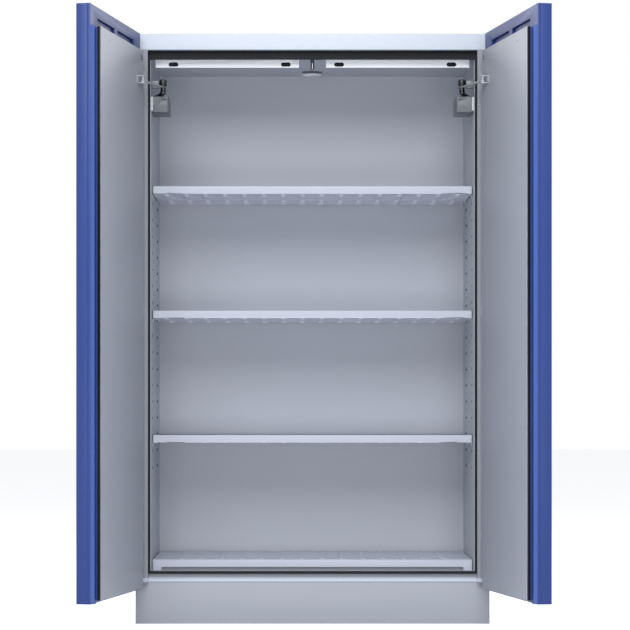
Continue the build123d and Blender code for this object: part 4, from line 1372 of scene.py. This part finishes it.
    def rim(self) -> Mesh:
        """Folds the rim round the shelf, with small round corners.

        Returns:
            The mesh of the ring.
        """
        outer_x, outer_y = self.half_width, self.depth / 2
        middle, under = self.front + outer_y, self.top - self.lip
        rings = []
        for inset, height in self.rim_profile():
            corner = max(self.least_corner, self.rim_corner - inset)
            path = rounded_rectangle(outer_x - inset, outer_y - inset, corner, CORNER_STEPS)
            rings.append([Vector((x, y + middle, under + height)) for x, y in path])
        rings.append(rings[0])
        return loft(rings, cap_first=False, cap_last=False)


@dataclass
class DoorLeaf:
    """One wing door with its skin, flange, strip and grey inner panel.

    Places are in the door's own axes: t from the hinge, n into the cabinet when shut, z up.

    Attributes:
        side: Side of the door.
        blue_sheets: Skin and flange.
        fittings: Inner panel, hinge pins and the closer's bracket.
        slab_t: Limits of the slab along t, which the strip runs round.
        slab_z: Limits of the slab in height.
        strip_thick: Thickness of the strip.
        strip_corner: Inner radius of its corners.
        strip_n: Limits of the strip's film.
        strip_edge: Section of the film's round edge: height over the slab, and place from it.
        foot_n: Limits of the blue foot.
        foot_edge: Section of the foot's edge.
        bevel_section: Section of the sheet over the bevel that carries its painted reflection, in t
            and n.
        bevel_z: Its ends.
        panel_n: Face of the inner panel.
        screw_head: Radius and height of a panel screw's head.
        screws: Name, places in t and z, and finish of each group of panel screws.
        slot_spans: Limits of the two vent slots along t.
        slot_z: Limits of the vent slots in height.
        pocket_floor_n: Bottom of the pan behind a slot.
        pocket_mouth_n: Mouth of the pan.
        pocket_insets: Insets of the pan's lip, mouth and bottom from the slot's outline.
    """

    side: Side
    blue_sheets: tuple[Easing, ...] = (
        Easing("door_skin", BLUE_COAT, Slot.DOOR, 1.1, 3),
        Easing("door_frame", BLUE_COAT, Slot.DOOR, 0.5),
    )
    fittings: tuple[Easing, ...] = (
        Easing("door_panel", PANEL_COAT, Slot.LINING, 0.5),
        Easing("hinge_pins", STILE_SHADE_COAT, Slot.ZINC, 0.4),
        Easing("link_bracket", LINK_LACQUER, Slot.BRIGHT, 0.4),
    )
    slab_t: Pair = (40.0, 553.0)
    slab_z: Pair = (128.0, 1928.0)
    strip_thick: float = 2.5
    strip_corner: float = 3.0
    strip_n: Pair = (20.6, 30.8)
    strip_edge: tuple[Pair, ...] = ((0.0, 0.0), (1.5, 0.0), (2.25, 0.5), (2.5, 1.8))
    foot_n: Pair = (16.5, 20.6)
    foot_edge: tuple[Pair, ...] = ((0.0, 0.0), (2.5, 0.0))
    bevel_section: tuple[Pair, ...] = (
        (587.9, 8.0),
        (588.4, 8.25),
        (573.2, 16.84),
        (573.0, 16.44),
    )
    bevel_z: Pair = (119.4, 1927.8)
    panel_n: float = 32.0
    screw_head: Pair = (3.2, 1.8)
    screws: tuple[tuple[str, tuple[Pair, ...], Surface], ...] = (
        ("free_edge_screw", ((452.0, 1898.0),), ZINC_PLATE),
        ("hinge_edge_screws", ((58.0, 1898.0), (58.0, 1907.5)), BLACK_OXIDE),
    )
    slot_spans: tuple[Pair, ...] = ((73.0, 274.0), (308.0, 509.0))
    slot_z: Pair = (1930.0, 1960.0)
    pocket_floor_n: float = -1.0
    pocket_mouth_n: float = 6.6
    pocket_insets: Triple = (-2.0, 0.0, 1.0)

    def build(self, shop: Workshop) -> None:
        """Eases and dresses the door's sheets and adds its trim.

        Args:
            shop: Workshop that takes the pieces.
        """
        for plan in self.blue_sheets:
            shop.ease(plan.on(self.side))
        self.sweep(shop, "strip", self.strip_n, self.strip_edge, STRIP_FILM)
        self.sweep(shop, "strip_foot", self.foot_n, self.foot_edge, BLUE_COAT)
        # The door's boards take the near-black of painted shade as well.
        shop.dress(f"{self.side.word}_door_boards", SLOT_SHADE_BLACK)
        for plan in self.fittings:
            shop.ease(plan.on(self.side))
        self.lay_bevel(shop)
        self.set_screws(shop)
        self.sink_pockets(shop)

    def sweep(
        self,
        shop: Workshop,
        stem: str,
        span: Pair,
        edge: Sequence[Pair],
        finish: Surface,
    ) -> None:
        """Sweeps a band with two like edges round the slab.

        Args:
            shop: Workshop that takes the piece.
            stem: End of the piece's name.
            span: Limits of the band along n.
            edge: Section of one edge: height over the slab, and place from the band's limit.
            finish: Finish of the band.
        """
        width = span[1] - span[0]
        profile = [*edge, *((out, width - along) for out, along in reversed(edge))]
        values = {
            "Profile": outline_mesh(profile),
            "Width": (self.slab_t[1] - self.slab_t[0] - 2 * self.strip_thick) * MM,
            "Length": (self.slab_z[1] - self.slab_z[0] - 2 * self.strip_thick) * MM,
            "Corner": self.strip_corner * MM,
        }
        band = shop.sweeps.bake(bpy.data.meshes.new("path"), values, finish)
        upright = Matrix(((1, 0, 0), (0, 0, 1), (0, 1, 0))).to_4x4()
        middle = Matrix.Translation((sum(self.slab_t) / 2, span[1], sum(self.slab_z) / 2))
        placed = LAYOUT.door(self.side) @ middle @ upright
        band.transform(Matrix.Scale(MM, 4) @ placed @ Matrix.Scale(1 / MM, 4))
        shape = bmesh.new()
        shape.from_mesh(band)
        word = self.side.word
        name, replaced = f"swept_{word}_{stem}", (f"{word}_door_strip",)
        shop.hand_over(finished(shape), name, self.side.body("door"), finish, replaced)

    def lay_bevel(self, shop: Workshop) -> None:
        """Lays a lighter blue sheet over the bevel along the free edge: a painted reflection.

        Args:
            shop: Workshop that takes the piece.
        """
        door, word = LAYOUT.door(self.side), self.side.word
        rings = [[door @ Vector((t, n, z)) for t, n in self.bevel_section] for z in self.bevel_z]
        name, replaced = f"{word}_edge_bevel", (f"{word}_door_frame",)
        body = self.side.body("door")
        shop.hand_over(loft(rings), name, body, BEVEL_REFLECTION_COAT, replaced)

    def set_screws(self, shop: Workshop) -> None:
        """Sets the three screws of the inner panel.

        Args:
            shop: Workshop that takes the pieces.
        """
        door, word = LAYOUT.door(self.side), self.side.word
        inward = (door.to_3x3() @ Vector((0, 1, 0))).normalized()
        body, replaced = self.side.body("door"), (f"{word}_door_screws",)
        for stem, places, finish in self.screws:
            seats = [(door @ Vector((t, self.panel_n, z)), inward) for t, z in places]
            head = fastener_head(*self.screw_head, Drive.CROSS)
            shop.set_heads(f"{word}_{stem}", body, seats, head, finish, replaced)

    def sink_pockets(self, shop: Workshop) -> None:
        """Sets a shallow blue pan behind each of the two vent slots of the top band.

        Args:
            shop: Workshop that takes the pieces.
        """
        door = LAYOUT.door(self.side)
        low, high = self.slot_z
        levels = (self.pocket_mouth_n, self.pocket_mouth_n, self.pocket_floor_n)
        for number, (start, end) in enumerate(self.slot_spans, start=1):
            rings = []
            for inset, n in zip(self.pocket_insets, levels):
                left, right, foot, head = start + inset, end - inset, low + inset, high - inset
                outline = ((left, foot), (right, foot), (right, head), (left, head))
                rings.append([door @ Vector((t, n, z)) for t, z in outline])
            pan = loft(rings, cap_first=False)
            name = f"{self.side.word}_vent_pocket_{number}"
            shop.hand_over(pan, name, self.side.body("door"), BLUE_COAT)


@dataclass
class DoorCloser:
    """Closer on the side wall: housing on its plate, lever, knob and link.

    Attributes:
        side: Side of the closer.
        pieces: Housing, lever, link and knob.
        plate_face: Face of the plate towards the room.
        plate_y: Limits of the plate in depth.
        plate_z: Limits of the plate in height.
        plate_corner: Corner radius of the plate.
        plate_edge: Chamfer of the plate's face.
        screw_inset: Distance of a plate screw from the plate's end.
        screw_head: Radius and height of its head.
        spindle: Seat of the nut on the spindle, for the right side.
        nut: Radius and height of the nut.
    """

    side: Side
    pieces: tuple[Easing, ...] = (
        Easing("closer", CLOSER_COAT, Slot.CLOSER, 1.0, 3),
        Easing("lever", BLACK_OXIDE, Slot.DARK, 0.5),
        Easing("link", LINK_LACQUER, Slot.BRIGHT, 0.4),
        Easing("knob", NYLON, Slot.BLACK, 0.6),
    )
    plate_face: float = 542.2
    plate_y: Pair = (-239.3, -64.7)
    plate_z: Pair = (1741.2, 1789.8)
    plate_corner: float = 4.0
    plate_edge: float = 0.6
    screw_inset: float = 8.0
    screw_head: Pair = (4.2, 2.0)
    spindle: Triple = (534.6, -138.0, 1803.0)
    nut: Pair = (7.0, 4.2)

    def build(self, shop: Workshop) -> None:
        """Eases the closer's pieces and adds its plate and fasteners.

        Args:
            shop: Workshop that takes the pieces.
        """
        for plan in self.pieces:
            shop.ease(plan.on(self.side))
        self.set_plate(shop)
        across, back, level = self.spindle
        seats = [(Vector((self.side.value * across, back, level)), Vector((0, 0, 1)))]
        nut = fastener_head(*self.nut, Drive.HEX)
        name, body = f"{self.side.word}_spindle_nut", self.side.body("lever")
        shop.set_heads(name, body, seats, nut, BLACK_OXIDE)

    def set_plate(self, shop: Workshop) -> None:
        """Sets the light plate that carries the housing, with a screw at each end.

        Args:
            shop: Workshop that takes the pieces.
        """
        sign, word = self.side.value, self.side.word
        half_y, half_z = ((high - low) / 2 for low, high in (self.plate_y, self.plate_z))
        mid_y, mid_z = ((high + low) / 2 for low, high in (self.plate_y, self.plate_z))
        edge, face = self.plate_edge, self.plate_face
        rings = []
        for inset, across in ((0.0, LAYOUT.room_half), (0.0, face + edge), (edge, face)):
            path = rounded_rectangle(
                half_y - inset, half_z - inset, self.plate_corner, CORNER_STEPS
            )
            rings.append([Vector((sign * across, y + mid_y, z + mid_z)) for y, z in path])
        name, replaced = f"{word}_closer_plate", (f"{word}_closer",)
        shop.hand_over(loft(rings), name, Body.CARCASS, CASING_COAT, replaced)
        ends = (self.plate_y[0] + self.screw_inset, self.plate_y[1] - self.screw_inset)
        seats = [(Vector((sign * face, y, mid_z)), Vector((-sign, 0, 0))) for y in ends]
        head = fastener_head(*self.screw_head, Drive.CROSS)
        name = f"{word}_closer_screws"
        shop.set_heads(name, Body.CARCASS, seats, head, ZINC_PLATE)


@dataclass
class LockSet:
    """Recessed pull, lock cylinder and rod of the right door.

    Attributes:
        pieces: Pull and cylinder.
    """

    pieces: tuple[Easing, ...] = (
        Easing("door_pull", NYLON, Slot.BLACK, 1.0, 3),
        Easing("lock_cylinder", BRIGHT_STEEL, Slot.BRIGHT, 0.4),
    )

    def build(self, shop: Workshop) -> None:
        """Eases and dresses the pull and the lock.

        Args:
            shop: Workshop that takes the pieces.
        """
        for plan in self.pieces:
            shop.ease(plan)
        shop.dress("lock_rod", ZINC_PLATE)


# --------------------------------------------------------------------------------------------
# Studio
# --------------------------------------------------------------------------------------------


@dataclass(frozen=True)
class SoftBox:
    """Rectangular studio lamp.

    Attributes:
        name: Name of the lamp.
        place: Where it hangs, in metres.
        target: What it points at, in metres.
        size: Width and height in metres.
        power: Watts.
    """

    name: str
    place: Triple
    target: Triple
    size: Pair
    power: float

    def hang(self, tone: str) -> None:
        """Adds the lamp to the scene.

        Args:
            tone: Colour of its light, as sRGB hex.
        """
        data = bpy.data.lights.new(self.name, "AREA")
        data.shape = "RECTANGLE"
        data.size, data.size_y = self.size
        data.energy = self.power
        data.color = linear(tone)[:3]
        lamp = link_object(self.name, data)
        lamp.location = self.place
        aim = Vector(self.target) - Vector(self.place)
        lamp.rotation_euler = aim.to_track_quat("-Z", "Y").to_euler()


@dataclass
class Studio:
    """Camera, lamps, floor and background.

    Attributes:
        camera: Place of the camera, in millimetres.
        lens: Focal length on a sensor of sensor millimetres.
        sensor: Width of that sensor.
        shift: Shift that frames the cabinet as the photograph does.
        sight: How far the camera sees, in metres.
        lamps: A large soft box high in front, a low fill and two weak boxes behind.
        lamp_tone: Colour of their light.
        floor_size: Width of the floor, in metres.
        floor_tone: Colour of the floor.
        floor_lift: Glow that brings the lit floor to white where the camera sees it.
        air_tone: Colour of the ambient light.
        ambient: Strength of the ambient light.
    """

    camera: Triple = (-57.7, -7985.0, 741.0)
    lens: float = 130.3
    sensor: float = 36.0
    shift: Pair = (0.03095, 0.143)
    sight: float = 200.0
    lamps: tuple[SoftBox, ...] = (
        SoftBox("high_front_box", (-0.5, -6.2, 5.1), (0.0, 0.0, 1.1), (5.0, 4.4), 430.0),
        SoftBox("low_front_fill", (0.0, -4.5, 0.3), (0.0, 0.0, 1.5), (3.0, 0.8), 46.0),
        SoftBox("rear_left_box", (-3.5, 3.0, 3.0), (0.0, 0.0, 1.0), (2.0, 2.0), 60.0),
        SoftBox("rear_right_box", (3.5, 3.0, 3.0), (0.0, 0.0, 1.0), (2.0, 2.0), 60.0),
    )
    lamp_tone: str = "f8fafd"
    floor_size: float = 60.0
    floor_tone: str = "e9ebee"
    floor_lift: float = 0.64
    air_tone: str = "f6f8fc"
    ambient: float = 0.38

    def build(self) -> None:
        """Sets the camera, lamps, floor and world."""
        self.place_camera()
        for lamp in self.lamps:
            lamp.hang(self.lamp_tone)
        self.lay_floor()
        self.light_world()
        bpy.context.scene.view_settings.view_transform = "Standard"

    def place_camera(self) -> None:
        """Puts a level camera straight in front of the cabinet, as in the photograph."""
        data = bpy.data.cameras.new("photo_camera")
        data.lens = self.lens
        data.sensor_width = self.sensor
        data.shift_x, data.shift_y = self.shift
        data.clip_end = self.sight
        camera = link_object("photo_camera", data)
        camera.location = Vector(self.camera) * MM
        camera.rotation_euler = (math.pi / 2, 0, 0)
        bpy.context.scene.camera = camera

    @staticmethod
    def seen_by(tree: Tree, *kinds: str) -> Socket:
        """Tells the named kinds of ray from all others.

        Args:
            tree: Tree that gets the nodes.
            kinds: Outputs of the Light Path node.

        Returns:
            An output that is 1 for these rays and 0 for others.
        """
        rays = add_node(tree, "ShaderNodeLightPath").outputs
        seen = rays[kinds[0]]
        for kind in kinds[1:]:
            either = {0: seen, 1: rays[kind]}
            seen = add_node(tree, "ShaderNodeMath", {"operation": "MAXIMUM"}, either).outputs[0]
        return seen

    def lay_floor(self) -> None:
        """Lays a pale floor that shows as white, and still takes the cabinet's shadow."""
        half = self.floor_size / 2
        mesh = bpy.data.meshes.new("studio_floor")
        edge = [(-half, -half, 0), (half, -half, 0), (half, half, 0), (-half, half, 0)]
        mesh.from_pydata(edge, [], [(0, 1, 2, 3)])
        paint = bpy.data.materials.new("matt_white_floor")
        paint.use_nodes = True
        tree = paint.node_tree
        tree.nodes.clear()
        seen = self.seen_by(tree, "Is Camera Ray", "Is Glossy Ray")
        lift = add_node(
            tree, "ShaderNodeMath", {"operation": "MULTIPLY"}, {0: seen, 1: self.floor_lift}
        )
        glow = add_node(
            tree,
            "ShaderNodeEmission",
            inputs={"Color": (1, 1, 1, 1), "Strength": lift.outputs[0]},
        )
        matt = add_node(tree, "ShaderNodeBsdfDiffuse", inputs={"Color": linear(self.floor_tone)})
        shown = {0: matt.outputs[0], 1: glow.outputs[0]}
        both = add_node(tree, "ShaderNodeAddShader", inputs=shown)
        add_node(tree, "ShaderNodeOutputMaterial", inputs={"Surface": both.outputs[0]})
        mesh.materials.append(paint)
        link_object("studio_floor", mesh)

    def light_world(self) -> None:
        """Gives an even ambient light, and pure white behind the object."""
        world = bpy.data.worlds.new("white_studio")
        world.use_nodes = True
        tree = world.node_tree
        tree.nodes.clear()
        seen = self.seen_by(tree, "Is Camera Ray", "Is Glossy Ray", "Is Transmission Ray")
        soft = add_node(
            tree,
            "ShaderNodeBackground",
            inputs={"Color": linear(self.air_tone), "Strength": self.ambient},
        )
        white = add_node(
            tree, "ShaderNodeBackground", inputs={"Color": (1, 1, 1, 1), "Strength": 1.0}
        )
        mixed = add_node(
            tree, "ShaderNodeMixShader", inputs={0: seen, 1: soft.outputs[0], 2: white.outputs[0]}
        )
        add_node(tree, "ShaderNodeOutputWorld", inputs={"Surface": mixed.outputs[0]})
        bpy.context.scene.world = world


def main() -> None:
    """Builds the cabinet's pieces in order."""
    logging.basicConfig(level=logging.INFO, format="%(name)s: %(message)s")
    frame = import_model()
    shop = Workshop(frame)
    parts: list[Assembly] = [Casing(), BottomTray()]
    parts += [PressedShelf(node, top) for node, top in SHELF_TOPS.items()]
    for side in Side:
        parts += [DoorLeaf(side), DoorCloser(side)]
    parts.append(LockSet())
    for part in parts:
        part.build(shop)
        LOG.info("%s is built", type(part).__name__)
    Studio().build()


if __name__ == "__main__":
    main()
